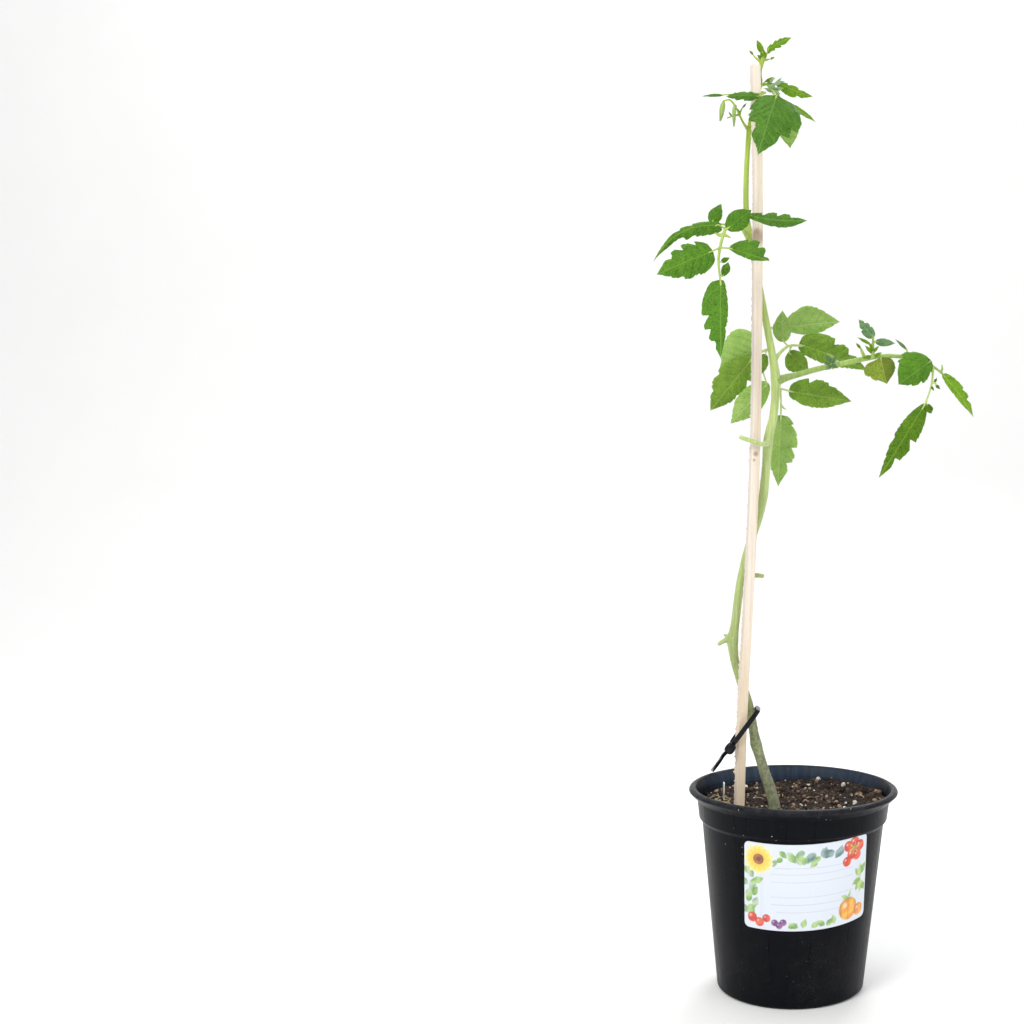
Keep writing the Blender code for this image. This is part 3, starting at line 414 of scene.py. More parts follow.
def stem_finish(name, low, mid, high, from_z, to_z):
    """Downy green stem whose colour changes up its height, with fine ribs along it."""
    f = Finish(name, 0.55, sheen_weight=0.3, sheen_roughness=0.4, subsurface_weight=0.1,
               specular_ior_level=0.25)
    f.shader.inputs["Subsurface Radius"].default_value = (0.7, 1.0, 0.3)
    f.shader.inputs["Subsurface Scale"].default_value = 0.0015
    place = f.place()
    z = f.apart(place)[2]
    blotch = f.noise(place, 60.0, 4.0, 0.6)
    level = f.plus(f.between(z, from_z, to_z, 0.0, 1.0, smooth=False), f.times(blotch, 0.16))
    ramp = f.node("ShaderNodeValToRGB")
    stops = ramp.color_ramp.elements
    stops[0].position, stops[0].color = 0.1, rgb(*low)
    stops[1].position, stops[1].color = 1.0, rgb(*high)
    for spot, share, colour in ((0.26, 0.72, mid), (0.58, 1.0, mid)):
        stops.new(spot).color = shaded(colour, share)
    f.feed(ramp.inputs[0], level)
    broad, fine = f.group(FIBRES, place=place, across=1400.0, along=60.0)
    down = f.noise(place, 2600.0, 2.0, 0.7)
    colour = f.mix(f.between(broad, 0.34, 0.7, 0.0, 0.8), ramp.outputs[0], rgb(0.6, 0.64, 0.5), "MULTIPLY")
    colour = f.mix(f.between(down, 0.5, 0.72, 0.0, 0.45), colour, rgb(0.62, 0.68, 0.52))
    mottle = f.noise(place, 380.0, 4.0, 0.7)
    aged = f.times(f.between(level, 0.3, 0.12), f.between(mottle, 0.56, 0.4, 0.0, 0.6))
    colour = f.mix(aged, colour, shaded(low, 0.4))
    relief = f.plus(f.times(fine, 0.6), f.times(down, 0.5))
    rough = f.between(down, 0.3, 0.7, 0.45, 0.68)
    return f.put(base_color=colour, roughness=rough, normal=f.bump(relief, 0.00025, 0.6))


def pot_finish():
    """Matt black moulded plastic: fine grain, dust, pale specks, a paler band round the lip and a painted
    bluish reflection on the inner back wall.
    """
    f = Finish("black_plastic", 0.42, specular_ior_level=0.055)
    place = f.place()
    x, y, z = f.apart(place)
    dust, specks = f.group(DUST, place=place, patch=22.0, speck=240.0)
    round_wall = f.math("DIVIDE", f.math("ARCTAN2", y, x), 2.0 * math.pi)
    streaks = f.noise(f.point(f.times(round_wall, 90.0), f.times(z, 14.0)), 1.0, 4.0, 0.6)
    grain = f.noise(place, 1900.0, 3.0, 0.6)
    low = f.between(z, 0.0, 0.11, 1.0, 0.15)
    colour = f.mix(streaks, rgb(0.0022, 0.0025, 0.0036), rgb(0.0068, 0.0074, 0.0105))
    haze = f.times(dust, low)
    colour = f.mix(f.times(haze, 0.3), colour, rgb(0.13, 0.125, 0.12))
    # Painted reflection: a bluish sheen mixed into the colour of the inner back wall below the rim, broken up
    # by the streaks.
    reach = f.math("SQRT", f.plus(f.times(x, x), f.times(y, y)))
    inside = f.between(reach, (RIM_RADIUS - 4.5) * MM, (RIM_RADIUS - 6.5) * MM)
    inside = f.times(inside, f.times(f.between(z, 0.145, 0.15), f.between(y, 0.01, 0.06)))
    painted_reflection = f.times(inside, f.between(streaks, 0.3, 0.7, 0.5, 1.0))
    colour = f.mix(painted_reflection, colour, rgb(0.040, 0.060, 0.096))
    # A lighter grey band round the lip, broken up by noise.
    lip = f.between(z, POT_HEIGHT * MM - 0.0075, POT_HEIGHT * MM - 0.0015)
    pale_lip_band = f.times(lip, f.between(f.noise(place, 140.0, 5.0, 0.7), 0.35, 0.7, 0.25, 1.0))
    colour = f.mix(f.times(pale_lip_band, 0.22), colour, rgb(0.10, 0.105, 0.12))
    high = f.between(z, 0.11, 0.135, 0.12, 1.0)
    colour = f.mix(f.times(specks, high), colour, rgb(0.5, 0.5, 0.48))
    rough = f.plus(f.between(streaks, 0.3, 0.7, 0.26, 0.40), f.times(haze, 0.3), clamp=True)
    relief = f.plus(f.times(grain, 0.5), f.times(streaks, 0.4))
    return f.put(base_color=colour, roughness=rough, normal=f.bump(relief, 0.0003, 0.6))


def soil_finish(name, dark, pale, share=0.5, glitter=0.0):
    """Moist potting mix: each crumb has a tone of its own, with finer grit on it."""
    f = Finish(name, 0.9, specular_ior_level=0.25)
    place = f.place()
    tone = f.attribute("tone").outputs["Fac"]
    lump = f.noise(place, 420.0, 4.0, 0.65)
    grit = f.noise(place, 2400.0, 3.0, 0.7)
    level = f.plus(f.times(tone, share), f.times(lump, 1.0 - share))
    colour = f.mix(f.between(level, 0.25, 0.8), rgb(*dark), rgb(*pale))
    colour = f.mix(f.between(grit, 0.55, 0.8, 0.0, 0.45), colour, rgb(*pale))
    colour = f.mix(f.between(grit, 0.66, 0.8, 0.0, glitter), colour, rgb(0.7, 0.68, 0.62))
    rough = f.between(grit, 0.3, 0.7, 0.8, 1.0)
    relief = f.plus(f.times(lump, 0.6), f.times(grit, 0.5))
    return f.put(base_color=colour, roughness=rough, normal=f.bump(relief, 0.0006, 0.9))


def perlite_finish():
    """Puffed white mineral, chalky and pitted."""
    f = Finish("perlite_white", 0.85)
    place = f.place()
    pits = f.cells(place, 2200.0)
    tint = f.noise(place, 260.0, 3.0)
    colour = f.mix(f.between(tint, 0.35, 0.7), rgb(0.82, 0.80, 0.76), rgb(0.62, 0.58, 0.52))
    colour = f.mix(f.between(pits, 0.0, 0.3, 0.3, 0.0), colour, rgb(0.3, 0.26, 0.22))
    return f.put(base_color=colour, roughness=f.between(pits, 0.0, 0.6, 0.75, 0.95),
                 normal=f.bump(pits, 0.0005, 0.8))


# Each knot of the stake: its place and size in metres, and how dark it is.
KNOTS = [
    ((-0.0345, -0.0235, 0.4295), 0.0022, 0.8),
    ((-0.0362, -0.0225, 0.4245), 0.0014, 0.8),
    ((-0.0375, -0.021, 0.6075), 0.0026, 0.5),
    ((-0.0360, -0.021, 0.6030), 0.0056, 0.6),
]


def wood_finish():
    """Pale rough-sawn softwood: fibres and pores up its length, cross saw marks, small knots and painted
    shade on its left faces.
    """
    f = Finish("pale_wood", 0.72, specular_ior_level=0.3)
    place = f.place()
    broad, fine = f.group(FIBRES, place=place, across=420.0, along=9.0)
    colour = f.mix(f.between(broad, 0.28, 0.72), rgb(0.84, 0.765, 0.67), rgb(0.70, 0.59, 0.46))
    low = f.between(f.apart(place)[2], 0.34, 0.2, 0.0, 0.6)
    colour = f.mix(low, colour, rgb(0.74, 0.58, 0.37))
    colour = f.mix(f.between(fine, 0.5, 0.76, 0.0, 0.55), colour, rgb(0.52, 0.38, 0.27))
    flecks = f.cells(f.stretched(place, (1.0, 1.0, 0.16)), 900.0)
    colour = f.mix(f.between(flecks, 0.02, 0.16, 0.55, 0.0), colour, rgb(0.40, 0.26, 0.17))
    # Painted shade: faces that look to the left are mixed towards a duller grey.
    facing = f.node("ShaderNodeNewGeometry").outputs["Normal"]
    left = f.between(f.apart(facing)[0], -0.75, -0.95, 0.0, 0.5)
    colour = f.mix(left, colour, rgb(0.62, 0.57, 0.56))
    for middle, size, share in KNOTS:
        gap = f.node("ShaderNodeVectorMath", {0: place, 1: middle}, operation="DISTANCE").outputs["Value"]
        colour = f.mix(f.between(gap, size * 0.3, size * 1.5, share, 0.0), colour, rgb(0.33, 0.19, 0.10))
    saw = f.noise(f.stretched(place, (60.0, 60.0, 1600.0)), 1.0, 2.0)
    relief = f.plus(f.times(fine, 0.8), f.times(saw, 0.35))
    rough = f.between(fine, 0.3, 0.7, 0.62, 0.85)
    return f.put(base_color=colour, roughness=rough, normal=f.bump(relief, 0.0004, 0.7))


def nylon_finish():
    """Smooth black nylon with faint flow marks and a little dust."""
    f = Finish("black_nylon", 0.22, specular_ior_level=0.2)
    place = f.place()
    dust, specks = f.group(DUST, place=place, patch=90.0, speck=700.0)
    flow = f.noise(place, 380.0, 3.0)
    colour = f.mix(flow, rgb(0.0025, 0.003, 0.0045), rgb(0.008, 0.0085, 0.012))
    colour = f.mix(f.times(dust, 0.15), colour, rgb(0.09, 0.09, 0.1))
    rough = f.plus(f.between(flow, 0.3, 0.7, 0.14, 0.26), f.times(specks, 0.3))
    return f.put(base_color=colour, roughness=rough, normal=f.bump(flow, 0.0001, 0.4))


def marker_finish():
    """White plastic tag, soiled where it enters the mix."""
    f = Finish("white_plastic", 0.4)
    place = f.place()
    z = f.apart(place)[2]
    smear = f.noise(place, 500.0, 4.0, 0.65)
    soiled = f.times(f.between(z, 0.149, 0.156, 1.0, 0.0), f.between(smear, 0.35, 0.65))
    colour = f.mix(smear, rgb(0.82, 0.82, 0.80), rgb(0.72, 0.72, 0.71))
    colour = f.mix(soiled, colour, rgb(0.14, 0.10, 0.07))
    return f.put(base_color=colour, roughness=f.between(smear, 0.3, 0.7, 0.34, 0.5),
                 normal=f.bump(smear, 0.0001, 0.4))


def paper_finish():
    """Satin printed label: the printed colours with paper grain and a faint coating."""
    f = Finish("printed_paper", 0.45, coat_weight=0.15, coat_roughness=0.3)
    place = f.place()
    ink = f.attribute("ink").outputs["Color"]
    pulp = f.noise(place, 2600.0, 3.0, 0.6)
    wash = f.noise(place, 300.0, 4.0, 0.6)
    colour = f.mix(f.between(pulp, 0.4, 0.75, 0.0, 0.12), ink, rgb(0.72, 0.75, 0.80))
    colour = f.mix(f.between(wash, 0.5, 0.8, 0.0, 0.1), colour, rgb(0.92, 0.94, 0.98))
    return f.put(base_color=colour, roughness=f.between(pulp, 0.3, 0.7, 0.38, 0.55),
                 normal=f.bump(pulp, 0.00006, 0.4))


def floor_finish():
    """Pale seamless studio sweep with the faintest mottling."""
    f = Finish("studio_sweep", 0.85, specular_ior_level=0.2)
    soft = f.noise(f.place(), 6.0, 3.0)
    return f.put(base_color=f.mix(soft, rgb(0.90, 0.90, 0.90), rgb(0.93, 0.93, 0.93)))


# Each kind of leaf: dark patches, light patches, veins, underside, and what else differs.
LEAF_KINDS = {
    "leaf_green": ((0.052, 0.172, 0.006), (0.1, 0.265, 0.012),
                   (0.21, 0.4, 0.06), (0.19, 0.34, 0.09), {}),
    "leaf_dark": ((0.048, 0.158, 0.006), (0.092, 0.245, 0.013),
                  (0.19, 0.36, 0.08), (0.17, 0.3, 0.1), dict(gloss=0.45)),
    # The next kind is a paler copy of the green with painted backlight, for leaflets lit from behind.
    "leaf_light": ((0.205, 0.35, 0.06), (0.32, 0.48, 0.12),
                   (0.44, 0.59, 0.22), (0.32, 0.47, 0.16), dict(glow=0.2, flecks=0.45)),
    "leaf_young": ((0.1, 0.24, 0.006), (0.19, 0.37, 0.012),
                   (0.33, 0.5, 0.07), (0.27, 0.43, 0.08), dict(glow=0.18)),
    # This kind has strong painted shade over one half of its blade.
    "leaf_olive": ((0.18, 0.265, 0.02), (0.27, 0.37, 0.04),
                   (0.38, 0.45, 0.1), (0.3, 0.34, 0.14), dict(halves=0.75)),
    "leaf_shaded": ((0.11, 0.22, 0.015), (0.19, 0.33, 0.032),
                    (0.3, 0.44, 0.09), (0.26, 0.4, 0.11), dict(glow=0.16, flecks=0.65)),
    "leaf_downy": ((0.075, 0.19, 0.062), (0.16, 0.31, 0.12),
                   (0.36, 0.5, 0.28), (0.28, 0.42, 0.22), dict(glow=0.14)),
    "leaf_pale": ((0.21, 0.37, 0.15), (0.38, 0.54, 0.29),
                  (0.5, 0.64, 0.4), (0.38, 0.52, 0.28), dict(glow=0.2, flecks=0.4)),
    "leaf_deep": ((0.048, 0.14, 0.003), (0.095, 0.222, 0.006),
                  (0.23, 0.37, 0.03), (0.2, 0.33, 0.07), {}),
}
LEAVES = {name: leaf_finish(name, *greens, **more) for name, (*greens, more) in LEAF_KINDS.items()}
STEM_GREEN = stem_finish("stem_green", (0.27, 0.28, 0.18), (0.55, 0.68, 0.26), (0.36, 0.52, 0.03), 0.15, 0.75)
SHOOT_GREEN = stem_finish("shoot_green", (0.4, 0.54, 0.15), (0.36, 0.52, 0.11), (0.28, 0.44, 0.06),
                          0.48, 0.53)
BUD_GREEN = stem_finish("bud_green", (0.20, 0.36, 0.06), (0.30, 0.46, 0.10), (0.36, 0.50, 0.14), 0.68, 0.72)
HAIR_PALE = stem_finish("hair_pale", (0.52, 0.53, 0.44), (0.62, 0.68, 0.46), (0.56, 0.66, 0.30), 0.15, 0.75)
POT_BLACK = pot_finish()
MIX_DARK = soil_finish("potting_mix", (0.012, 0.008, 0.006), (0.085, 0.055, 0.038), 0.45)
MIX_BARK = soil_finish("bark_bits", (0.075, 0.045, 0.030), (0.36, 0.25, 0.17), 0.7, 0.2)
MIX_STRAW = soil_finish("straw_bits", (0.40, 0.33, 0.19), (0.72, 0.64, 0.44), 0.7)
PERLITE = perlite_finish()
PALE_WOOD = wood_finish()
BLACK_NYLON = nylon_finish()
WHITE_PLASTIC = marker_finish()
PRINTED_PAPER = paper_finish()
SWEEP = floor_finish()


# Meshes


def mesh_object(name, points, faces, look):
    """A mesh object from points in millimetres."""
    mesh = bpy.data.meshes.new(name)
    mesh.from_pydata((np.asarray(points, float).reshape(-1, 3) * MM).tolist(), [], faces)
    mesh.materials.append(look)
    made = bpy.data.objects.new(name, mesh)
    bpy.context.scene.collection.objects.link(made)
    mesh.shade_smooth()
    return made


def settle(piece, slot, *nodes):
    """Ties a finished piece to the frame."""
    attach(piece, "root")
    if nodes:
        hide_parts(*nodes)
    return piece


def baked(source):
    """The evaluated mesh of an object as a plain object, which takes its place."""
    graph = bpy.context.evaluated_depsgraph_get()
    mesh = bpy.data.meshes.new_from_object(source.evaluated_get(graph))
    name = source.name
    bpy.data.objects.remove(source, do_unlink=True)
    mesh.name = name
    made = bpy.data.objects.new(name, mesh)
    bpy.context.scene.collection.objects.link(made)
    return made


def smooth_path(controls, steps):
    """A Catmull-Rom curve through control rows of any length, ends kept."""
    rows = [Vector(c) for c in controls]
    out = []
    for i in range(len(rows) - 1):
        before = rows[max(i - 1, 0)]
        after = rows[min(i + 2, len(rows) - 1)]
        for k in range(steps):
            t = k / steps
            a = -0.5 * t + t * t - 0.5 * t**3
            b = 1.0 - 2.5 * t * t + 1.5 * t**3
            c = 0.5 * t + 2.0 * t * t - 1.5 * t**3
            d = -0.5 * t * t + 0.5 * t**3
            out.append(before * a + rows[i] * b + rows[i + 1] * c + after * d)
    out.append(rows[-1])
    return out


def frames_along(centres, side_hint):
    """A side and an up direction at each point of a path, carried along without twisting."""
    frames = []
    side = Vector(side_hint)
    for i in range(len(centres)):
        ahead = (centres[min(i + 1, len(centres) - 1)] - centres[max(i - 1, 0)]).normalized()
        side = (side - ahead * side.dot(ahead)).normalized()
        frames.append((side.copy(), ahead.cross(side)))
    return frames


def swept(centres, frames, outlines, closed=False):
    """Points and faces of a body swept along centres, each outline a list of (side, up) pairs."""
    points = []
    for centre, (side, up), outline in zip(centres, frames, outlines):
        points += [centre + side * a + up * b for a, b in outline]
    n = len(outlines[0])
    spans = len(centres) if closed else len(centres) - 1
    faces = []
    for i in range(spans):
        j = (i + 1) % len(centres)
        for k in range(n):
            m = (k + 1) % n
            faces.append((i * n + k, i * n + m, j * n + m, j * n + k))
    if not closed:
        last = (len(centres) - 1) * n
        faces.append(tuple(reversed(range(n))))
        faces.append(tuple(range(last, last + n)))
    return points, faces


def joined(shapes):
    """Several shapes as one set of points and faces."""
    points, faces = [], []
    for more_points, more_faces in shapes:
        start = len(points)
        points += more_points
        faces += [tuple(start + i for i in face) for face in more_faces]
    return points, faces


def stem_shape(path, sides=14, steps=5, flare=0.0, ribs=0.04):
    """A tapering stem through rows of (x, y, z, radius), flared at its foot, with a blunt round end."""
    rows = smooth_path(path, steps)
    tip = rows[-1]
    heading = (tip.to_3d() - rows[-2].to_3d()).normalized()
    for share in (0.55, 0.85, 1.0):
        end = tip.to_3d() + heading * tip[3] * share * 0.8
        rows.append(Vector((*end, tip[3] * math.sqrt(max(1.0 - share**2, 0.02)))))
    centres = [row.to_3d() for row in rows]
    outlines = []
    gone = 0.0
    for i, row in enumerate(rows):
        gone += (centres[i] - centres[i - 1]).length if i else 0.0
        radius = row[3] * (1.0 + flare * math.exp(-((gone / (4.0 * path[0][3])) ** 2)))
        outline = []
        for k in range(sides):
            angle = 2.0 * math.pi * k / sides
            wide = radius * (1.0 + ribs * math.cos(5.0 * angle) + 0.5 * ribs * math.cos(2.0 * angle))
            outline.append((wide * math.cos(angle), wide * math.sin(angle)))
        outlines.append(outline)
    return swept(centres, frames_along(centres, (0.31, 0.87, 0.38)), outlines)


def grown(name, shapes, look, slot, voxel, node, rounds=4):
    """Stems grown together: joined, skinned as one body and smoothed at their joints."""
    body = mesh_object(name, *joined(shapes), look)
    skin = body.modifiers.new("skin", "REMESH")
    skin.mode = "VOXEL"
    skin.voxel_size = voxel * MM
    skin.use_smooth_shade = True
    soften = body.modifiers.new("soften", "SMOOTH")
    soften.factor = 0.5
    soften.iterations = rounds
    return settle(baked(body), slot, node)


def toward_blade(start, base, tip, via=None, radius=0.7):
    """Rows of a thin stalk from its parent to just inside a leaflet, where it goes on as the midrib."""
    base, tip = Vector(base), Vector(tip)
    run = (tip - base).normalized()
    rows = [start] + ([via] if via else []) + [tuple(base - run * 0.6), tuple(base + run * 1.8)]
    widths = [radius * 1.05] + ([radius] if via else []) + [radius * 0.92, radius * 0.62]
    return [(*row[:3], width) for row, width in zip(rows, widths)]


def sheet_faces(rows, columns):
    """Faces of a thin closed sheet: a front grid of points, row by row, and then the same grid behind it."""
    n, half = columns, rows * columns
    i, k = np.meshgrid(np.arange(rows - 1), np.arange(n - 1), indexing="ij")
    a = (i * n + k).ravel()
    e = np.arange(rows - 1) * n
    f = e + n - 1
    g = np.arange(n - 1)
    h = g + (rows - 1) * n
    sides = [
        (a, a + n, a + n + 1, a + 1),
        (a + half, a + 1 + half, a + n + 1 + half, a + n + half),
        (e, e + half, e + n + half, e + n),
        (f, f + n, f + n + half, f + half),
        (g, g + 1, g + 1 + half, g + half),
        (h, h + half, h + 1 + half, h + 1),
    ]
    return np.concatenate([np.stack(side, axis=1) for side in sides]).tolist()


# How far a leaflet's base is drawn back beside its stalk, as a share of its length.
HEART = 0.05


def half_width(t, widest, peak, blunt, lobes, teeth, seed):
    """Half the width of a leaflet along t, its width without lobes or teeth first."""
    power = math.log(0.5) / math.log(peak)
    swell = np.maximum(np.sin(np.pi * np.clip(t, 0.0, 1.0) ** power), 0.0)
    plain = widest * swell ** (blunt + (1.05 - blunt) * t)
    width = plain.copy()
    for place, depth, span in lobes:
        off = (t - place) / span
        off = np.where(off < 0.0, off / 0.6, off / 1.9)
        width -= 1.25 * depth * np.maximum(0.0, 1.0 - off**2) ** 2
    dice = random.Random(seed)
    phase, sway = dice.random(), dice.random()
    saw = (t * teeth[0] + phase + 0.35 * np.sin(2.0 * np.pi * (1.6 * t + sway))) % 1.0
    strength = 0.6 + 0.4 * np.sin(2.0 * np.pi * (2.3 * t + phase))
    width -= teeth[1] * strength * np.minimum(swell * 1.6, 1.0) * (1.0 - saw) ** 2
    return np.maximum(plain, 0.2), np.maximum(width, 0.22 - 0.1 * t)


def blade_mesh(name, base, tip, left, right, look, tilt=0.0, fold=18.0, bow=1.5, sweep=0.0, peak=0.38,
               blunt=0.5, lobes_left=(), lobes_right=(), wave=0.6):
    """A leaf blade with lobes, teeth, quilting between its veins and a raised midrib beneath.

    Left and right are the half widths looking from base to tip from the front. Tilt turns the blade about
    its midrib, fold bends the halves back, bow arches it to the front, sweep bends it to the left and wave
    ripples its margin.
    """
    seed = sum(ord(c) * (i + 3) for i, c in enumerate(name))
    base, tip = Vector(base), Vector(tip)
    run = tip - base
    length = run.length
    side = run.cross(Vector((0.0, 1.0, 0.0))).normalized()
    ahead = run.normalized()
    face = ahead.cross(side)
    turn = Matrix.Rotation(math.radians(tilt), 3, ahead)
    side, face = np.array(turn @ side), np.array(turn @ face)
    ahead, run = np.array(ahead), np.array(run)
    rows = int(np.clip(length / 0.5, 26, 130))
    columns = int(np.clip(max(left, right) / 0.55, 6, 30))
    t = np.linspace(0.0, 1.0, rows)
    u = np.linspace(-1.0, 1.0, 2 * columns + 1)
    teeth = (max(4.0, length / 5.2), 0.04 * (left + right) + 0.2)
    plain_left, wide_left = half_width(t, left, peak, blunt, lobes_left, teeth, seed)
    plain_right, wide_right = half_width(t, right, peak, blunt, lobes_right, teeth, seed + 1)
    T, U = np.meshgrid(t, u, indexing="ij")
    reach = np.abs(U)
    width = np.where(U > 0.0, wide_left[:, None], wide_right[:, None])
    plain = np.where(U > 0.0, plain_left[:, None], plain_right[:, None])
    across = U * width
    along = T * length - 0.7 * (plain - width) * reach**3
    along -= HEART * length * reach**1.5 * np.exp(-T / 0.07)
    spacing = float(np.clip(length / 6.5, 1.6, 7.5))
    away = np.abs(across) / spacing
    phase = along / spacing - VEIN_SLOPE * away - VEIN_BEND * away**2 + 0.25 * np.sign(across)
    quilt = np.sin(np.pi * (phase % 1.0)) ** 2
    inner = np.clip(np.abs(across) / (0.35 * spacing), 0.0, 1.0) * (1.0 - reach**5)
    arch = 4.0 * T * (1.0 - T)
    height = 0.115 * spacing * quilt * inner * np.clip(arch * 1.6, 0.0, 1.0)
    height -= 0.3 * np.exp(-((across / 0.45) ** 2)) * (1.0 - 0.7 * T)
    dice = random.Random(seed + 5)
    for strength, turns in ((wave, 1.7), (0.45 * wave, 4.3)):
        ripple = np.sin(2.0 * np.pi * (turns * T + dice.random() + 0.23 * np.sign(U)))
        height += strength * ripple * reach**2 * np.clip(arch * 1.5, 0.0, 1.0)
    height -= 0.1 * width * reach**3
    back = np.sqrt(across**2 + 0.16) - 0.4
    c, s = math.cos(math.radians(fold)), math.sin(math.radians(fold))
    middle = np.array(base) + run * T[..., None] + (face * bow + side * sweep) * arch[..., None]
    shift = (along - T * length)[..., None]
    top = middle + side * (across * c)[..., None] + face * (height - back * s)[..., None] + ahead * shift
    rib = 0.75 * np.exp(-((across / 0.55) ** 2)) * (1.0 - 0.8 * T)
    vein = 0.16 * np.exp(-(((phase + 0.5) % 1.0 - 0.5) * spacing / 0.5) ** 2) * inner * (1.0 - reach)
    thick = 0.34 - 0.2 * reach**6 + rib + vein
    low = top - face * thick[..., None]
    points = np.concatenate([top.reshape(-1, 3), low.reshape(-1, 3)])
    made = mesh_object(name, points, sheet_faces(rows, 2 * columns + 1), look)
    layout = made.data.uv_layers.new(name="blade")
    flat = np.tile(np.stack([across.ravel(), along.ravel()], axis=1) / spacing, (2, 1))
    corners = np.empty(len(made.data.loops), np.int32)
    made.data.loops.foreach_get("vertex_index", corners)
    layout.data.foreach_set("uv", flat[corners].astype(np.float32).ravel())
    facts = made.data.attributes.new("face", "FLOAT_VECTOR", "POINT")
    sides = np.repeat((0.0, 1.0), reach.size)
    values = np.stack([sides, np.tile(reach.ravel(), 2), np.tile(T.ravel(), 2)], axis=1)
    facts.data.foreach_set("vector", values.astype(np.float32).ravel())
    return made


def leaflet(name, ends, left, right, slot, look=None, **shape):
    return settle(blade_mesh(name, *ends, left, right, LEAVES[look or slot], **shape), slot, name)


def small_leaves(name, rows, slot, look):
    """Little extra leaves, each with its base, tip and half width, as one piece."""
    blades = [blade_mesh(f"{name}_{i}", base, tip, wide, wide, LEAVES[look], fold=24.0, bow=0.6, wave=0.3)
              for i, (base, tip, wide) in enumerate(rows)]
    bpy.ops.object.select_all(action="DESELECT")
    for blade in blades:
        blade.select_set(True)
    bpy.context.view_layer.objects.active = blades[0]
    bpy.ops.object.join()
    blades[0].name = name
    return settle(blades[0], slot)


# Scattered and repeated bits


def geometry_tree(name, numbers):
    """A geometry node group with a geometry input and output and named number inputs."""
    made = bpy.data.node_groups.new(name, "GeometryNodeTree")
    made.interface.new_socket("Geometry", in_out="INPUT", socket_type="NodeSocketGeometry")
    for key, value in numbers.items():
        socket = made.interface.new_socket(key, in_out="INPUT", socket_type="NodeSocketFloat")
        socket.default_value = value
    made.interface.new_socket("Geometry", in_out="OUTPUT", socket_type="NodeSocketGeometry")
    b = Tree(made)
    return made, b, b.node("NodeGroupInput").outputs, b.node("NodeGroupOutput").inputs


def random_number(b, low, high, seed):
    made = b.node("FunctionNodeRandomValue", {2: low, 3: high, "Seed": seed}, data_type="FLOAT")
    return made.outputs[1]


def random_vector(b, low, high, seed):
    made = b.node("FunctionNodeRandomValue", {0: low, 1: high, "Seed": seed}, data_type="FLOAT_VECTOR")
    return made.outputs[0]


def strewn_points(b, entry, seed):
    values = {"Mesh": entry["Geometry"], "Density": entry["Density"], "Seed": seed}
    return b.node("GeometryNodeDistributePointsOnFaces", values).outputs


def laid_on(b, points, shape, turn, size):
    """A copy of a shape at each point."""
    values = {"Points": points["Points"], "Instance": shape, "Rotation": turn, "Scale": size}
    return b.node("GeometryNodeInstanceOnPoints", values).outputs[0]


def realized(b, copies):
    return b.node("GeometryNodeRealizeInstances", {0: copies}).outputs[0]


def dressed(b, leave, geometry, look):
    """Ends a tree with its geometry in its finish."""
    done = b.node("GeometryNodeSetMaterial", {"Geometry": geometry, "Material": look})
    b.feed(leave["Geometry"], done.outputs[0])


def crumb_tree(name, look, flatness, lumps, fineness, seed):
    """Lumps of many shapes strewn over a surface, each with a tone of its own."""
    made, b, entry, leave = geometry_tree(name, {"Density": 1000.0, "Smallest": 0.001, "Largest": 0.003})
    lump = b.node("GeometryNodeMeshIcoSphere", {"Radius": 0.5, "Subdivisions": fineness}).outputs["Mesh"]
    turn = random_vector(b, (0.0, 0.0, 0.0), (6.28, 6.28, 6.28), seed + 1)
    share = b.math("POWER", random_number(b, 0.0, 1.0, seed + 2), 2.2)
    size = b.plus(entry["Smallest"], b.times(b.minus(entry["Largest"], entry["Smallest"]), share))
    shape = random_vector(b, (0.75, 0.6, flatness), (1.2, 1.0, flatness + 0.35), seed + 3)
    laid = laid_on(b, strewn_points(b, entry, seed), lump, turn, b.scaled(shape, size))
    tone = {"Geometry": laid, "Name": "tone", "Value": random_number(b, 0.0, 1.0, seed + 4)}
    toned = b.node("GeometryNodeStoreNamedAttribute", tone, data_type="FLOAT", domain="INSTANCE").outputs[0]
    push = b.times(b.minus(b.noise(None, 520.0, 2.0), 0.5), lumps)
    push = b.scaled(b.node("GeometryNodeInputNormal").outputs[0], push)
    moved = b.node("GeometryNodeSetPosition", {"Geometry": realized(b, toned), "Offset": push}).outputs[0]
    dressed(b, leave, moved, look)
    return made


def hair_tree(name, look, seed):
    """Fine upright hairs over a surface."""
    made, b, entry, leave = geometry_tree(name, {"Density": 1000.0, "Length": 0.001, "Radius": 0.00004})
    strewn = strewn_points(b, entry, seed)
    sizes = {"Vertices": 3, "Radius Top": 0.0, "Radius Bottom": entry["Radius"], "Depth": entry["Length"]}
    hair = b.node("GeometryNodeMeshCone", sizes, fill_type="TRIANGLE_FAN").outputs["Mesh"]
    tilt = random_vector(b, (-0.5, -0.5, 0.0), (0.5, 0.5, 6.28), seed + 1)
    tilt = b.node("FunctionNodeEulerToRotation", {0: tilt}).outputs[0]
    turn = {0: strewn["Rotation"], 1: tilt}
    turn = b.node("FunctionNodeRotateRotation", turn, rotation_space="LOCAL").outputs[0]
    size = random_number(b, 0.4, 1.0, seed + 2)
    dressed(b, leave, realized(b, laid_on(b, strewn, hair, turn, size)), look)
    return made


def strewn_over(name, ground, tree, **numbers):
    """Runs a geometry tree over a copy of a mesh and keeps the result as a plain mesh."""
    carrier = bpy.data.objects.new(name, ground.data.copy())
    bpy.context.scene.collection.objects.link(carrier)
    step = carrier.modifiers.new(name, "NODES")
    step.node_group = tree
    sockets = {s.name: s.identifier for s in tree.interface.items_tree if s.in_out == "INPUT"}
    for key, value in numbers.items():
        step[sockets[key.capitalize()]] = float(value)
    made = baked(carrier)
    made.data.shade_smooth()
    return made


# Pot, mix, label, stake, tie and marker


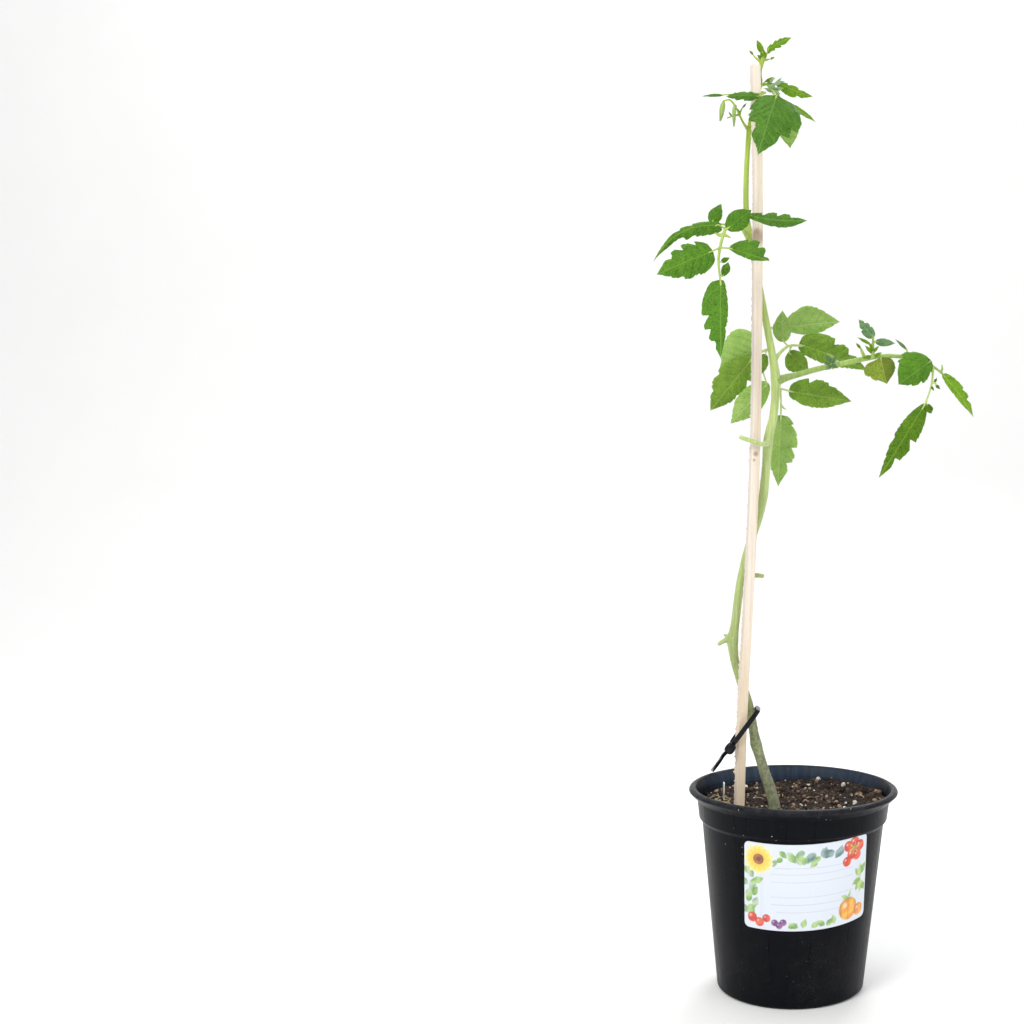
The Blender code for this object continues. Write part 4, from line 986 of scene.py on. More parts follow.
def turned_shape(profile, sides):
    """Points and faces of (radius, z) pairs turned round the z axis; a zero radius closes an end."""
    points, rings, faces = [], [], []
    for radius, z in profile:
        if radius < 1e-6:
            rings.append([len(points)])
            points.append((0.0, 0.0, z))
            continue
        rings.append(list(range(len(points), len(points) + sides)))
        turns = [2.0 * math.pi * k / sides for k in range(sides)]
        points += [(radius * math.cos(a), radius * math.sin(a), z) for a in turns]
    for low, high in zip(rings, rings[1:]):
        for k in range(sides):
            j = (k + 1) % sides
            if len(low) == 1:
                faces.append((low[0], high[j], high[k]))
            elif len(high) == 1:
                faces.append((low[k], low[j], high[0]))
            else:
                faces.append((low[k], low[j], high[j], high[k]))
    return points, faces


def rounded(corners, radius=0.6, steps=3):
    """A profile with its inner corners turned into short arcs."""
    out = [corners[0]]
    for before, here, after in zip(corners, corners[1:], corners[2:]):
        a, h, b = Vector(before), Vector(here), Vector(after)
        into = min(radius, 0.45 * (a - h).length, 0.45 * (b - h).length)
        start = h + (a - h).normalized() * into
        end = h + (b - h).normalized() * into
        for k in range(steps + 1):
            t = k / steps
            out.append(tuple(start * (1 - t) ** 2 + h * 2 * t * (1 - t) + end * t * t))
    return out + [corners[-1]]


def body_radius(z):
    return BASE_RADIUS + (BODY_TOP_RADIUS - BASE_RADIUS) * z / BODY_TOP_Z


def make_pot():
    outline = [
        (0.0, 0.0),
        (FOOT_PAD_RADIUS, 0.0),
        (FOOT_PAD_RADIUS + 1.0, FLOOR_UNDER_Z),
        (FOOT_RING_INNER - 1.0, FLOOR_UNDER_Z),
        (FOOT_RING_INNER, 0.0),
        (BASE_RADIUS - 1.5, 0.0),
        (BASE_RADIUS, 1.5),
        (body_radius(66.0), 66.0),
        (BODY_TOP_RADIUS, BODY_TOP_Z),
        (COLLAR_RADIUS, COLLAR_LOW_Z),
        (COLLAR_TOP_RADIUS, LIP_LOW_Z - 2.6),
        (RIM_RADIUS - 0.8, LIP_LOW_Z + 3.2),
        (RIM_RADIUS, LIP_LOW_Z + 4.2),
        (RIM_RADIUS - 0.6, POT_HEIGHT - 1.4),
        (RIM_RADIUS - 2.6, POT_HEIGHT - 0.2),
        (RIM_RADIUS - 4.6, POT_HEIGHT),
        (RIM_RADIUS - 5.8, POT_HEIGHT - 0.8),
        (COLLAR_TOP_RADIUS - WALL, LIP_LOW_Z - 1.0),
        (COLLAR_RADIUS - WALL, COLLAR_LOW_Z),
        (BODY_TOP_RADIUS - WALL, BODY_TOP_Z - 1.0),
        (body_radius(FLOOR_TOP_Z) - WALL, FLOOR_TOP_Z),
        (0.0, FLOOR_TOP_Z),
    ]
    pot = mesh_object("nursery_pot", *turned_shape(rounded(outline), 144), POT_BLACK)
    holes = []
    for k in range(DRAIN_HOLES):
        angle = 2.0 * math.pi * (k + 0.5) / DRAIN_HOLES
        middle = Vector((DRAIN_CIRCLE * math.cos(angle), DRAIN_CIRCLE * math.sin(angle), 0.0))
        plug, faces = turned_shape([(0.0, -5.0), (DRAIN_RADIUS, -5.0), (DRAIN_RADIUS, 12.0), (0.0, 12.0)], 24)
        holes.append(([tuple(Vector(p) + middle) for p in plug], faces))
    cutter = mesh_object("drain_cutter", *joined(holes), POT_BLACK)
    step = pot.modifiers.new("drain", "BOOLEAN")
    step.operation = "DIFFERENCE"
    step.object = cutter
    pot = baked(pot)
    bpy.data.objects.remove(cutter, do_unlink=True)
    pot.data.shade_smooth()
    pot.data.set_sharp_from_angle(angle=math.radians(42))
    return settle(pot, "black_plastic", "pot")


def mix_height(x, y):
    """Height of the potting mix: uneven, lumpy, and banked against the wall, most at the back right."""
    spot = Vector((x, y, 0.0))
    broad = noise.noise(spot * 0.035) * 2.0
    lumps = noise.fractal(spot * 0.22, 0.9, 2.1, 4)
    heap = max(0.0, math.cos(math.atan2(y, x) - math.radians(38.0))) ** 2
    bank = (1.4 + 5.0 * heap) * max(0.0, math.hypot(x, y) / SOIL_RADIUS - 0.75) / 0.25
    return SOIL_Z - 0.8 + broad + lumps + bank


def make_mix():
    rings, sides = 84, 200
    points, faces = [(0.0, 0.0, mix_height(0.0, 0.0))], []
    for r in range(1, rings + 1):
        radius = SOIL_RADIUS * r / rings
        for k in range(sides):
            angle = 2.0 * math.pi * k / sides
            x, y = radius * math.cos(angle), radius * math.sin(angle)
            points.append((x, y, mix_height(x, y)))
    faces += [(0, 1 + k, 1 + (k + 1) % sides) for k in range(sides)]
    for r in range(rings - 1):
        for k in range(sides):
            j = (k + 1) % sides
            a = 1 + r * sides
            faces.append((a + k, a + sides + k, a + sides + j, a + j))
    top_count = len(faces)
    crust = mesh_object("mix_crust", points, faces[:top_count], MIX_DARK)
    edge = 1 + (rings - 1) * sides
    for radius, z in ((SOIL_RADIUS - 1.0, COLLAR_LOW_Z), (BODY_TOP_RADIUS - WALL - 0.3, BODY_TOP_Z - 1.0),
                      (body_radius(FLOOR_TOP_Z) - WALL - 0.3, FLOOR_TOP_Z + 0.3)):
        start = len(points)
        for k in range(sides):
            angle = 2.0 * math.pi * k / sides
            points.append((radius * math.cos(angle), radius * math.sin(angle), z))
        for k in range(sides):
            j = (k + 1) % sides
            faces.append((edge + k, start + k, start + j, edge + j))
        edge = start
    points.append((0.0, 0.0, FLOOR_TOP_Z + 0.3))
    faces += [(len(points) - 1, edge + (k + 1) % sides, edge + k) for k in range(sides)]
    settle(mesh_object("potting_mix_plug", points, faces, MIX_DARK), "potting_mix", "soil")
    strew = [
        ("mix_crumbs", crumb_tree("crumbs", MIX_DARK, 0.6, 0.0012, 1, 11), 78000.0, 0.0012, 0.0052),
        ("bark_pieces", crumb_tree("bark", MIX_BARK, 0.35, 0.0010, 1, 23), 34000.0, 0.0010, 0.0056),
        ("mix_clods", crumb_tree("clods", MIX_DARK, 0.7, 0.0026, 2, 51), 3600.0, 0.0035, 0.0090),
        ("perlite_beads", crumb_tree("perlite", PERLITE, 0.75, 0.0008, 2, 37), 3600.0, 0.0014, 0.0052),
    ]
    for name, tree, density, small, large in strew:
        settle(strewn_over(name, crust, tree, density=density, smallest=small, largest=large), "potting_mix")
    bpy.data.objects.remove(crust, do_unlink=True)


def make_straw():
    """Pale bits of straw on the mix, most of them near the marker."""
    dice = random.Random(7)
    shapes = []
    for i in range(70):
        near = i < 54
        angle = math.radians(dice.uniform(165.0, 225.0) if near else dice.uniform(0.0, 360.0))
        reach = dice.uniform(52.0, 69.0) if near else dice.uniform(15.0, 68.0)
        x, y = reach * math.cos(angle), reach * math.sin(angle)
        length, turn = dice.uniform(2.5, 7.0), dice.uniform(0.0, math.pi)
        step = Vector((math.cos(turn), math.sin(turn), dice.uniform(-0.1, 0.35))) * length * 0.5
        middle = Vector((x, y, mix_height(x, y) + 1.4))
        bend = Vector((dice.uniform(-0.4, 0.4), dice.uniform(-0.4, 0.4), 0.4))
        rows = [(*(middle - step), 0.3), (*(middle + bend), 0.42), (*(middle + step), 0.25)]
        shapes.append(stem_shape(rows, sides=6, steps=3, ribs=0.1))
    straw = mesh_object("straw_pieces", *joined(shapes), MIX_STRAW)
    settle(straw, "potting_mix")


def on_cone(s, q, lift):
    """A point of the label, s along and q up its flat sheet, wrapped round the pot's tapered side."""
    tilt = math.radians(LABEL_TILT)
    s, q = s * math.cos(tilt) - q * math.sin(tilt), s * math.sin(tilt) + q * math.cos(tilt)
    slope = (BODY_TOP_RADIUS - BASE_RADIUS) / BODY_TOP_Z
    lean = math.atan(slope)
    apex = body_radius(LABEL_CENTRE_Z) / math.sin(lean)
    reach = np.hypot(apex + q, s)
    turn = np.arctan2(s, apex + q) / math.sin(lean)
    angle = math.radians(LABEL_CENTRE_ANGLE) + turn
    radius = reach * math.sin(lean) + lift * math.cos(lean)
    z = LABEL_CENTRE_Z + (reach - apex) * math.cos(lean) - lift * math.sin(lean)
    return np.stack([radius * np.sin(angle), -radius * np.cos(angle), z], axis=-1)


class Print:
    """Soft-edged shapes painted on the label's flat sheet, S along and Q up in millimetres."""

    def __init__(self, s, q):
        self.s, self.q = s, q
        self.ink = np.ones(s.shape + (3,)) * np.array((0.70, 0.745, 0.82))
        self.wash = 0.5 + 0.5 * np.sin(0.52 * s - 0.37 * q + 1.4 * np.sin(0.41 * q + 0.23 * s))

    def lay(self, mask, colour, pale=None, strength=1.0):
        colour = np.array(colour)
        pale = colour if pale is None else np.array(pale)
        paint = colour + (pale - colour) * self.wash[..., None]
        share = np.clip(mask, 0.0, 1.0)[..., None] * strength
        self.ink = self.ink * (1.0 - share) + paint * share

    def turned(self, x, y, angle):
        c, s = math.cos(math.radians(angle)), math.sin(math.radians(angle))
        a, b = self.s - x, self.q - y
        return a * c + b * s, -a * s + b * c

    def leaf(self, x, y, angle, length, width, colour, pale):
        """A pointed leaf with its stalk at x, y."""
        a, b = self.turned(x, y, angle)
        t = np.clip(a / length, 0.0, 1.0)
        half = width * np.sin(math.pi * t**0.8) ** 1.15
        inside = np.where((a > 0.0) & (a < length), half - np.abs(b), -1.0)
        self.lay(inside / 0.5, colour, pale)
        self.lay((0.28 - np.abs(b)) / 0.2 * (inside > 0.2), pale, strength=0.7)

    def fruit(self, x, y, radius, colour, pale, ribs=0):
        """A round fruit with a lit shoulder, ribbed like a gourd if ribs is given."""
        a, b = self.s - x, self.q - y
        reach = np.hypot(a, b)
        self.lay((radius - reach) / 0.5, colour, pale)
        if ribs:
            lines = np.abs(np.sin(ribs * a / radius)) < 0.25
            self.lay(lines * np.clip((radius - reach) / 0.5, 0.0, 1.0), np.array(colour) * 0.7, strength=0.5)
        lit = np.hypot(a + 0.35 * radius, b - 0.35 * radius)
        self.lay((0.32 * radius - lit) / (0.3 * radius), (0.95, 0.9, 0.85), strength=0.6)
        low = np.hypot(a - 0.15 * radius, b + 0.2 * radius)
        edge = np.clip((radius - reach) / 0.4, 0.0, 1.0)
        edge *= np.clip((low - 0.75 * radius) / (0.4 * radius), 0.0, 1.0)
        self.lay(edge, np.array(colour) * 0.45, strength=0.5)

    def flower(self, x, y, radius, petals):
        """A daisy-like flower with two rows of petals."""
        a, b = self.s - x, self.q - y
        reach, angle = np.hypot(a, b), np.arctan2(b, a)
        for turn, size, inner, outer in ((0.5, 1.0, (0.85, 0.55, 0.05), (0.95, 0.80, 0.30)),
                                         (0.0, 0.85, (0.90, 0.45, 0.02), (0.93, 0.72, 0.12))):
            comb = np.abs(np.cos(0.5 * petals * angle + turn * math.pi))
            edge = radius * size * (0.45 + 0.55 * comb**0.6)
            mix = np.clip(reach / (radius * size), 0.0, 1.0)[..., None]
            paint = np.array(inner) * (1.0 - mix) + np.array(outer) * mix
            share = np.clip((edge - reach) / 0.6, 0.0, 1.0)[..., None]
            self.ink = self.ink * (1.0 - share) + paint * share
            self.lay((0.2 - np.abs(comb - 0.12)) * (edge - reach > 0.4), (0.75, 0.42, 0.05), strength=0.5)
        self.lay((0.36 * radius - reach) / 0.5, (0.25, 0.08, 0.03), (0.45, 0.16, 0.05))
        self.lay((0.17 * radius - reach) / 0.4, (0.10, 0.035, 0.02), (0.2, 0.07, 0.03))

    def rule(self, left, right, y):
        inside = (self.s > left) & (self.s < right)
        self.lay((0.32 - np.abs(self.q - y)) / 0.25 * inside, (0.45, 0.5, 0.6), strength=0.75)

    def upright(self, x, low, high):
        inside = (self.q > low) & (self.q < high)
        self.lay((0.3 - np.abs(self.s - x)) / 0.25 * inside, (0.55, 0.6, 0.68), strength=0.6)


def printed(s, q):
    """A border of garden plants round a blank ruled panel."""
    p = Print(s, q)
    sage, grey_green = (0.22, 0.36, 0.20), (0.10, 0.19, 0.19)
    fresh, pale_fresh = (0.16, 0.34, 0.07), (0.42, 0.60, 0.24)
    for x in (-38.0, -36.5, 41.5, 43.0):
        p.upright(x, -29.0, 19.0)
    for y, left, right in ((15.5, -27.0, 36.0), (10.5, -30.0, 37.0), (4.5, -30.0, 38.0),
                           (-7.5, -30.0, 38.0), (-13.5, -30.0, 38.0), (-19.5, -26.0, 34.0)):
        p.rule(left, right, y)
    dice = random.Random(4)
    for i in range(15):
        x = -26.0 + 2.5 * i + dice.uniform(-0.8, 0.8)
        p.leaf(x, 28.0 + dice.uniform(-6.5, 2.0), dice.uniform(190.0, 350.0), dice.uniform(6.5, 9.5),
               dice.uniform(2.2, 3.3), *((fresh, pale_fresh) if i % 3 else (sage, (0.5, 0.62, 0.45))))
    for x, y, turn in ((8.0, 25.0, 20.0), (10.0, 23.0, 70.0), (13.0, 22.0, 110.0), (17.0, 24.0, 160.0),
                       (20.0, 27.0, 200.0), (24.0, 22.0, 75.0), (26.0, 28.0, 230.0), (2.0, 28.0, 250.0)):
        p.leaf(x, y, turn, 9.5, 3.4, grey_green, (0.30, 0.41, 0.41))
    for i in range(13):
        p.leaf(-47.0 + dice.uniform(-3.0, 3.0), 9.0 - 2.9 * i, dice.uniform(20.0, 160.0), 9.5, 3.0,
               sage if i % 2 else fresh, (0.5, 0.62, 0.45) if i % 2 else pale_fresh)
    for i, turn in enumerate((60.0, 95.0, 130.0, 200.0, 235.0, 265.0, 300.0)):
        p.leaf(46.0, 2.0 - 0.9 * i, turn, 11.0, 2.7, (0.17, 0.34, 0.05), (0.50, 0.66, 0.24))
    for x, y, radius in ((32.5, 28.0, 4.6), (38.5, 30.0, 4.8), (44.0, 26.5, 4.6), (35.5, 21.0, 4.6),
                         (41.0, 19.5, 4.4), (31.0, 16.0, 4.2), (38.5, 25.0, 3.6)):
        p.fruit(x, y, radius, (0.62, 0.03, 0.015), (0.80, 0.12, 0.03))
    for turn in range(0, 360, 60):
        p.leaf(38.0, 25.5, turn + 15.0, 6.5, 0.9, (0.25, 0.33, 0.05), (0.60, 0.55, 0.15))
    p.flower(-40.0, 21.5, 12.5, 13)
    for x, y, radius in ((-45.0, -25.5, 4.2), (-39.0, -28.5, 3.8), (-33.5, -25.0, 3.4)):
        p.fruit(x, y, radius, (0.60, 0.04, 0.03), (0.78, 0.14, 0.06))
    for x, y in ((-27.0, -28.0), (-23.5, -30.0), (-20.5, -27.5)):
        p.fruit(x, y, 2.9, (0.14, 0.03, 0.17), (0.32, 0.12, 0.34))
    for x, y, turn in ((-17.0, -31.5, 25.0), (-9.0, -31.5, 155.0), (-6.0, -32.0, 70.0), (1.0, -32.0, 35.0),
                       (12.0, -31.5, 145.0), (13.0, -32.0, 40.0), (20.0, -32.0, 100.0)):
        p.leaf(x, y, turn, 8.5, 2.6, fresh, pale_fresh)
    p.fruit(33.0, -22.5, 9.2, (0.80, 0.30, 0.02), (0.90, 0.48, 0.06), ribs=4)
    p.fruit(44.0, -26.0, 5.2, (0.75, 0.22, 0.02), (0.88, 0.40, 0.05), ribs=4)
    p.leaf(33.0, -14.0, 70.0, 7.5, 1.5, fresh, pale_fresh)
    p.leaf(33.0, -14.5, 150.0, 8.5, 2.2, fresh, pale_fresh)
    return p.ink


def make_label():
    half_w, half_h = LABEL_WIDTH / 2, LABEL_HEIGHT / 2
    columns, rows = 262, 166
    s = np.linspace(-half_w, half_w, columns)
    into = np.maximum(0.0, np.abs(s) - (half_w - LABEL_CORNER))
    height = half_h - (LABEL_CORNER - np.sqrt(np.maximum(LABEL_CORNER**2 - into**2, 0.0)))
    level = np.linspace(-1.0, 1.0, rows)
    S = np.repeat(s[:, None], rows, axis=1)
    Q = height[:, None] * level[None, :]
    front = on_cone(S, Q, LABEL_GAP + LABEL_THICK).reshape(-1, 3)
    back = on_cone(S, Q, LABEL_GAP * 0.5).reshape(-1, 3)
    points = np.concatenate([front, back])
    label = mesh_object("printed_label", points, sheet_faces(columns, rows), PRINTED_PAPER)
    ink = printed(S, Q).reshape(-1, 3)
    ink = np.concatenate([ink, np.full_like(ink, 0.8)])
    layer = label.data.color_attributes.new("ink", "FLOAT_COLOR", "POINT")
    ink = np.concatenate([ink, np.ones((len(ink), 1))], axis=1)
    layer.data.foreach_set("color", ink.astype(np.float32).ravel())
    return settle(label, "printed_paper", "label")


def box_outline(width, depth, turn, corner, steps, cuts):
    """A rectangle's outline with rounded corners, each side cut into short lengths."""
    outline = []
    for sx, sy, start in ((1, 1, 0), (-1, 1, 90), (-1, -1, 180), (1, -1, 270)):
        for k in range(steps + 1):
            angle = math.radians(start + 90.0 * k / steps)
            a = sx * (width / 2 - corner) + corner * math.cos(angle)
            b = sy * (depth / 2 - corner) + corner * math.sin(angle)
            outline.append(Vector((a, b)))
    dense = []
    for here, after in zip(outline, outline[1:] + outline[:1]):
        pieces = cuts if (after - here).length > 2.0 * corner else 1
        dense += [here.lerp(after, k / pieces) for k in range(pieces)]
    c, s = math.cos(math.radians(turn)), math.sin(math.radians(turn))
    return [(p.x * c - p.y * s, p.x * s + p.y * c) for p in dense]


def make_stake():
    """The stake, rough along its sawn faces and frayed along its left edge."""
    rows = smooth_path(STAKE_PATH, 56)
    frames = frames_along(rows, (1.0, 0.0, 0.0))
    plain = box_outline(STAKE_WIDTH, STAKE_DEPTH, STAKE_TURN, 0.35, 2, 7)
    outlines = []
    for row in rows:
        outline = []
        fray = 1.5 + 1.3 * min(1.0, max(0.0, (330.0 - row.z) / 120.0))
        for a, b in plain:
            spot = Vector((a * 1.6, b * 1.6, row.z * 0.06))
            rough = noise.noise(spot) * 0.10 + noise.noise(Vector((a * 3.0, b * 3.0, row.z * 0.5))) * 0.07
            frayed = max(0.0, -a / STAKE_WIDTH - 0.38) * 6.0
            rough += frayed * fray * max(0.0, noise.noise(Vector((a, b, row.z * 0.9)))) * 0.8
            reach = 1.0 + rough / math.hypot(a, b)
            outline.append((a * reach, b * reach))
        outlines.append(outline)
    shapes = [swept(rows, frames, outlines)]
    dice = random.Random(19)
    corner = Vector((-STAKE_WIDTH / 2 + 0.2, -STAKE_DEPTH / 2 + 0.2))
    turn = math.radians(STAKE_TURN)
    for _ in range(85):
        at = dice.randrange(60, len(rows) - 4)
        side, up = frames[at]
        spread = Vector((corner.x, corner.y + dice.uniform(0.0, STAKE_DEPTH - 0.4)))
        a = spread.x * math.cos(turn) - spread.y * math.sin(turn)
        b = spread.x * math.sin(turn) + spread.y * math.cos(turn)
        foot = rows[at] + side * a + up * b
        reach = dice.uniform(0.25, 0.9)
        run = dice.uniform(1.0, 4.0)
        out = (side * a + up * b).normalized() * reach
        lift = Vector((0.0, 0.0, run))
        middle = foot + out * 0.4 + lift * 0.2
        splinter = [(*(foot - lift * 0.4), 0.16), (*middle, 0.14), (*(foot + out + lift), 0.05)]
        shapes.append(stem_shape(splinter, sides=4, steps=1, ribs=0.0))
    stake = mesh_object("wooden_stake", *joined(shapes), PALE_WOOD)
    stake.data.set_sharp_from_angle(angle=math.radians(35))
    return settle(stake, "pale_wood", "stake")


def make_tie():
    """The cable tie: a ribbed strap loop, its locking head and the free tail to the rim."""
    along = Vector((0.586, 0.0, 0.810))
    across = Vector((-0.810, 0.0, 0.586))
    centre = Vector((-40.0, -16.6, 210.5))
    half_long, half_deep, corner = 18.0, 12.7, 5.5
    middles, outs = [], []
    for sx, sy, start in ((1, 1, 0), (-1, 1, 90), (-1, -1, 180), (1, -1, 270)):
        for k in range(13):
            angle = math.radians(start + 90.0 * k / 12)
            a = sx * (half_long - corner) + corner * math.cos(angle)
            b = sy * (half_deep - corner) + corner * math.sin(angle)
            out = along * math.cos(angle) + Vector((0.0, 1.0, 0.0)) * math.sin(angle)
            middles.append(centre + along * a + Vector((0.0, b, 0.0)))
            outs.append(out)
    strap = box_outline(STRAP_WIDTH, STRAP_THICK, 0.0, 0.3, 2, 1)
    loop = swept(middles, [(across, out) for out in outs], [strap] * len(middles), closed=True)
    shapes = [(loop[0], [tuple(reversed(face)) for face in loop[1]])]
    front = Vector((0.0, -1.0, 0.0))
    for i in range(17):
        at = centre - along * 9.5 + along * (i * 1.35) + front * (half_deep + STRAP_THICK / 2)
        bar_rows = [at - across * 1.3, at + across * 1.3]
        rib = box_outline(0.62, 0.34, 0.0, 0.12, 2, 1)
        shapes.append(swept(bar_rows, [(along, front)] * 2, [rib] * 2))
    head_low = centre - along * 22.5 + Vector((0.0, -14.7, 0.0))
    head_high = centre - along * 14.0 + Vector((0.0, -14.7, 0.0))
    spots = [0.0, 0.05, 0.14, 0.3, 0.5, 0.7, 0.86, 0.95, 1.0]
    grow = [0.52, 0.72, 0.9, 1.0, 1.03, 1.0, 0.9, 0.72, 0.55]
    middles = [head_low.lerp(head_high, t) for t in spots]
    head = [box_outline(7.8 * g, 5.4 * g, 0.0, 2.2 * g, 6, 1) for g in grow]
    shapes.append(swept(middles, frames_along(middles, across), head))
    tail_path = [
        (-51.5, -30.5, 194.5),
        (-56.5, -16.0, 187.5),
        (-61.0, 10.0, 177.0),
        (-66.0, 32.0, 167.0),
        (-69.0, 46.0, 161.2),
    ]
    middles = smooth_path(tail_path, 14)
    tail = box_outline(3.2, STRAP_THICK, 0.0, 0.3, 2, 1)
    narrow = [0.45 if i == len(middles) - 1 else 1.0 for i in range(len(middles))]
    tails = [[(a * n, b) for a, b in tail] for n in narrow]
    shapes.append(swept(middles, frames_along(middles, (0.82, 0.0, -0.57)), tails))
    tie = mesh_object("plastic_cable_tie", *joined(shapes), BLACK_NYLON)
    tie.data.set_sharp_from_angle(angle=math.radians(38))
    return settle(tie, "black_nylon", "cable_tie")


def make_marker():
    """A thin white tag standing in the mix, its top corners rounded."""
    low, high = (Vector(corner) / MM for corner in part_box("plant_marker"))
    centre = (low + high) / 2
    half, thick, turn = 3.5, 0.45, math.radians(8.0)
    reach = high.z - centre.z
    outline = [(-half, -reach + 6.0), (0.0, -reach), (half, -reach + 6.0)]
    for start, side in ((0, 1), (90, -1)):
        for k in range(7):
            angle = math.radians(start + 15.0 * k)
            outline.append((side * (half - 1.6) + 1.6 * math.cos(angle), reach - 1.6 + 1.6 * math.sin(angle)))
    inset = [(a * 0.95, b * 0.995) for a, b in outline]
    out = Vector((math.cos(turn), math.sin(turn), 0.0))
    side = Vector((-math.sin(turn), math.cos(turn), 0.0))
    middles = [centre + out * depth for depth in (-thick, -thick + 0.12, thick - 0.12, thick)]
    frames = [(side, Vector((0.0, 0.0, 1.0)))] * 4
    points, faces = swept(middles, frames, [inset, outline, outline, inset])
    tag = mesh_object("marker_tag", points, faces, WHITE_PLASTIC)
    tag.data.set_sharp_from_angle(angle=math.radians(30))
    return settle(tag, "white_plastic", "plant_marker")


# Plant


def make_main_stem():
    shapes = [stem_shape(STEM_PATH, sides=24, steps=8)]
    shapes += [stem_shape(rows, sides=14, steps=6, flare=0.45) for rows in STEM_STUBS]
    return grown("downy_stem", shapes, STEM_GREEN, "stem_green", 0.47, "main_stem")


def make_side_shoot():
    branches = [
        [(59.0, 10.5, 510.0, 1.3), (59.0, 12.0, 518.0, 1.2),
         (59.0, 12.0, 524.0, 1.0), (58.8, 12.0, 528.5, 0.8)],
        toward_blade((59.0, 12.0, 523.0), (58.6, 12.0, 527.5), (47.0, 16.0, 542.0)),
        toward_blade((59.0, 12.0, 522.5), (61.5, 12.0, 523.5), (77.0, 8.0, 522.0)),
        toward_blade((59.0, 12.0, 519.0), (56.5, 12.2, 521.5), (46.0, 14.0, 527.0)),
        toward_blade((66.0, 11.0, 511.0), (65.5, 7.6, 509.0), (70.5, 3.0, 488.5)),
        toward_blade((101.0, 12.0, 508.0), (105.5, 6.5, 507.5), (79.5, -2.0, 488.0), via=(105.0, 9.5, 508.5)),
        toward_blade((87.0, 12.0, 511.0), (86.5, 12.2, 517.8), (77.0, 12.0, 526.0)),
        toward_blade((115.0, 12.0, 499.5), (118.0, 12.0, 496.2), (143.0, 16.0, 463.0)),
        [(115.0, 12.0, 499.0, 0.8), (116.2, 12.0, 502.0, 0.8), (116.0, 12.0, 505.5, 0.4)],
        [(28.0, 8.0, 505.5, 1.8), (24.0, 2.0, 509.5, 1.8), (22.0, -0.5, 511.5, 0.8)],
        [(30.0, 7.5, 505.5, 1.6), (27.0, 2.0, 503.0, 1.7), (26.0, 0.0, 500.0, 0.8)],
        [(52.0, 10.0, 510.5, 1.1), (50.0, 10.0, 515.0, 1.1), (48.5, 10.0, 518.5, 0.5)],
    ]
    shapes = [stem_shape(SIDE_SHOOT_PATH, sides=20, steps=8, flare=0.3)]
    shapes += [stem_shape(rows, flare=0.35) for rows in branches]
    return grown("long_side_shoot", shapes, SHOOT_GREEN, "shoot_green", 0.24, "side_shoot")


def stalk(name, path, branches):
    """A leaf stalk grown out of its stem, with its leaflets' own short stalks."""
    shapes = [stem_shape(path, sides=16, steps=6, flare=0.5)]
    shapes += [stem_shape(rows, sides=12, steps=5, flare=0.35) for rows in branches]
    grown(name.replace("stalk", "petiole"), shapes, STEM_GREEN, "stem_green", 0.19, name, rounds=3)


# Little leaves at the growing tips and on the stalks: base, tip, half width.
APEX_LEAVES = [
    ((-35.6, -10.6, 747.5), (-39.5, -13.0, 750.8), 1.5),
    ((-35.2, -10.8, 748.5), (-36.6, -15.0, 752.6), 1.8),
    ((-34.6, -10.2, 748.8), (-31.4, -13.0, 751.6), 1.6),
    ((-33.4, -10.0, 750.8), (-34.2, -13.6, 754.8), 1.4),
    ((-31.4, -9.8, 753.4), (-28.2, -12.4, 754.6), 1.5),
    ((-43.0, -11.9, 751.2), (-46.0, -12.6, 754.2), 1.1),
    ((-28.8, -9.0, 748.6), (-25.4, -9.6, 750.0), 1.1),
]
CROWN_LEAVES = [
    ((-31.5, -4.0, 729.8), (-24.5, -9.0, 733.6), 1.5),
    ((-30.0, -3.0, 729.4), (-21.5, -8.0, 728.4), 1.6),
    ((-28.5, -4.5, 727.6), (-23.5, -12.0, 722.6), 1.9),
    ((-26.0, -2.0, 730.2), (-17.0, -5.0, 732.0), 1.5),
    ((-26.5, -9.0, 723.6), (-17.5, -13.0, 724.4), 2.0),
    ((-24.5, 1.2, 731.0), (-19.5, -1.0, 736.0), 1.3),
    ((-26.2, -12.0, 721.8), (-33.5, -18.0, 722.6), 1.9),
    ((-27.0, -14.0, 721.0), (-20.0, -22.0, 717.0), 2.4),
    ((-30.5, -10.0, 724.4), (-24.0, -17.0, 726.4), 2.1),
]
TRUSS_LEAVES = [
    ((-52.0, -22.6, 701.0), (-55.2, -26.0, 705.0), 0.9),
    ((-58.6, -24.3, 698.2), (-61.0, -26.5, 701.2), 0.8),
    ((-50.2, -23.6, 705.2), (-46.8, -25.0, 708.6), 0.9),
]
TIP_LEAVES = [
    ((59.0, 10.9, 513.6), (52.0, 7.0, 520.0), 1.7),
    ((59.1, 10.8, 514.8), (63.6, 6.0, 519.6), 1.5),
    ((58.8, 10.6, 515.8), (55.6, 5.6, 522.6), 1.5),
    ((48.8, 9.9, 517.6), (44.6, 8.0, 522.0), 1.3),
    ((57.8, 8.8, 511.2), (49.6, 4.0, 509.4), 1.7),
    ((60.0, 8.9, 511.0), (66.0, 4.6, 514.2), 1.8),
]
ROSETTE_LEAVES = [
    ((24.2, 0.6, 506.5), (19.6, -4.0, 511.1), 1.9),
    ((24.8, 0.4, 505.1), (29.8, -4.4, 509.9), 2.0),
    ((25.0, 0.2, 503.1), (30.6, -4.2, 500.3), 1.9),
    ((24.4, 0.2, 502.7), (20.6, -4.6, 498.5), 1.9),
    ((23.8, 0.4, 504.3), (17.6, -3.6, 504.1), 1.6),
    ((24.4, -1.0, 504.7), (25.6, -5.4, 507.9), 1.1),
]
HANGING_LEAVES = [
    ((109.8, 10.4, 490.6), (111.6, 8.0, 494.4), 1.3),
    ((111.2, 10.4, 488.6), (114.6, 9.0, 485.2), 1.5),
    ((107.2, 10.2, 488.0), (109.4, 8.0, 483.6), 1.2),
]


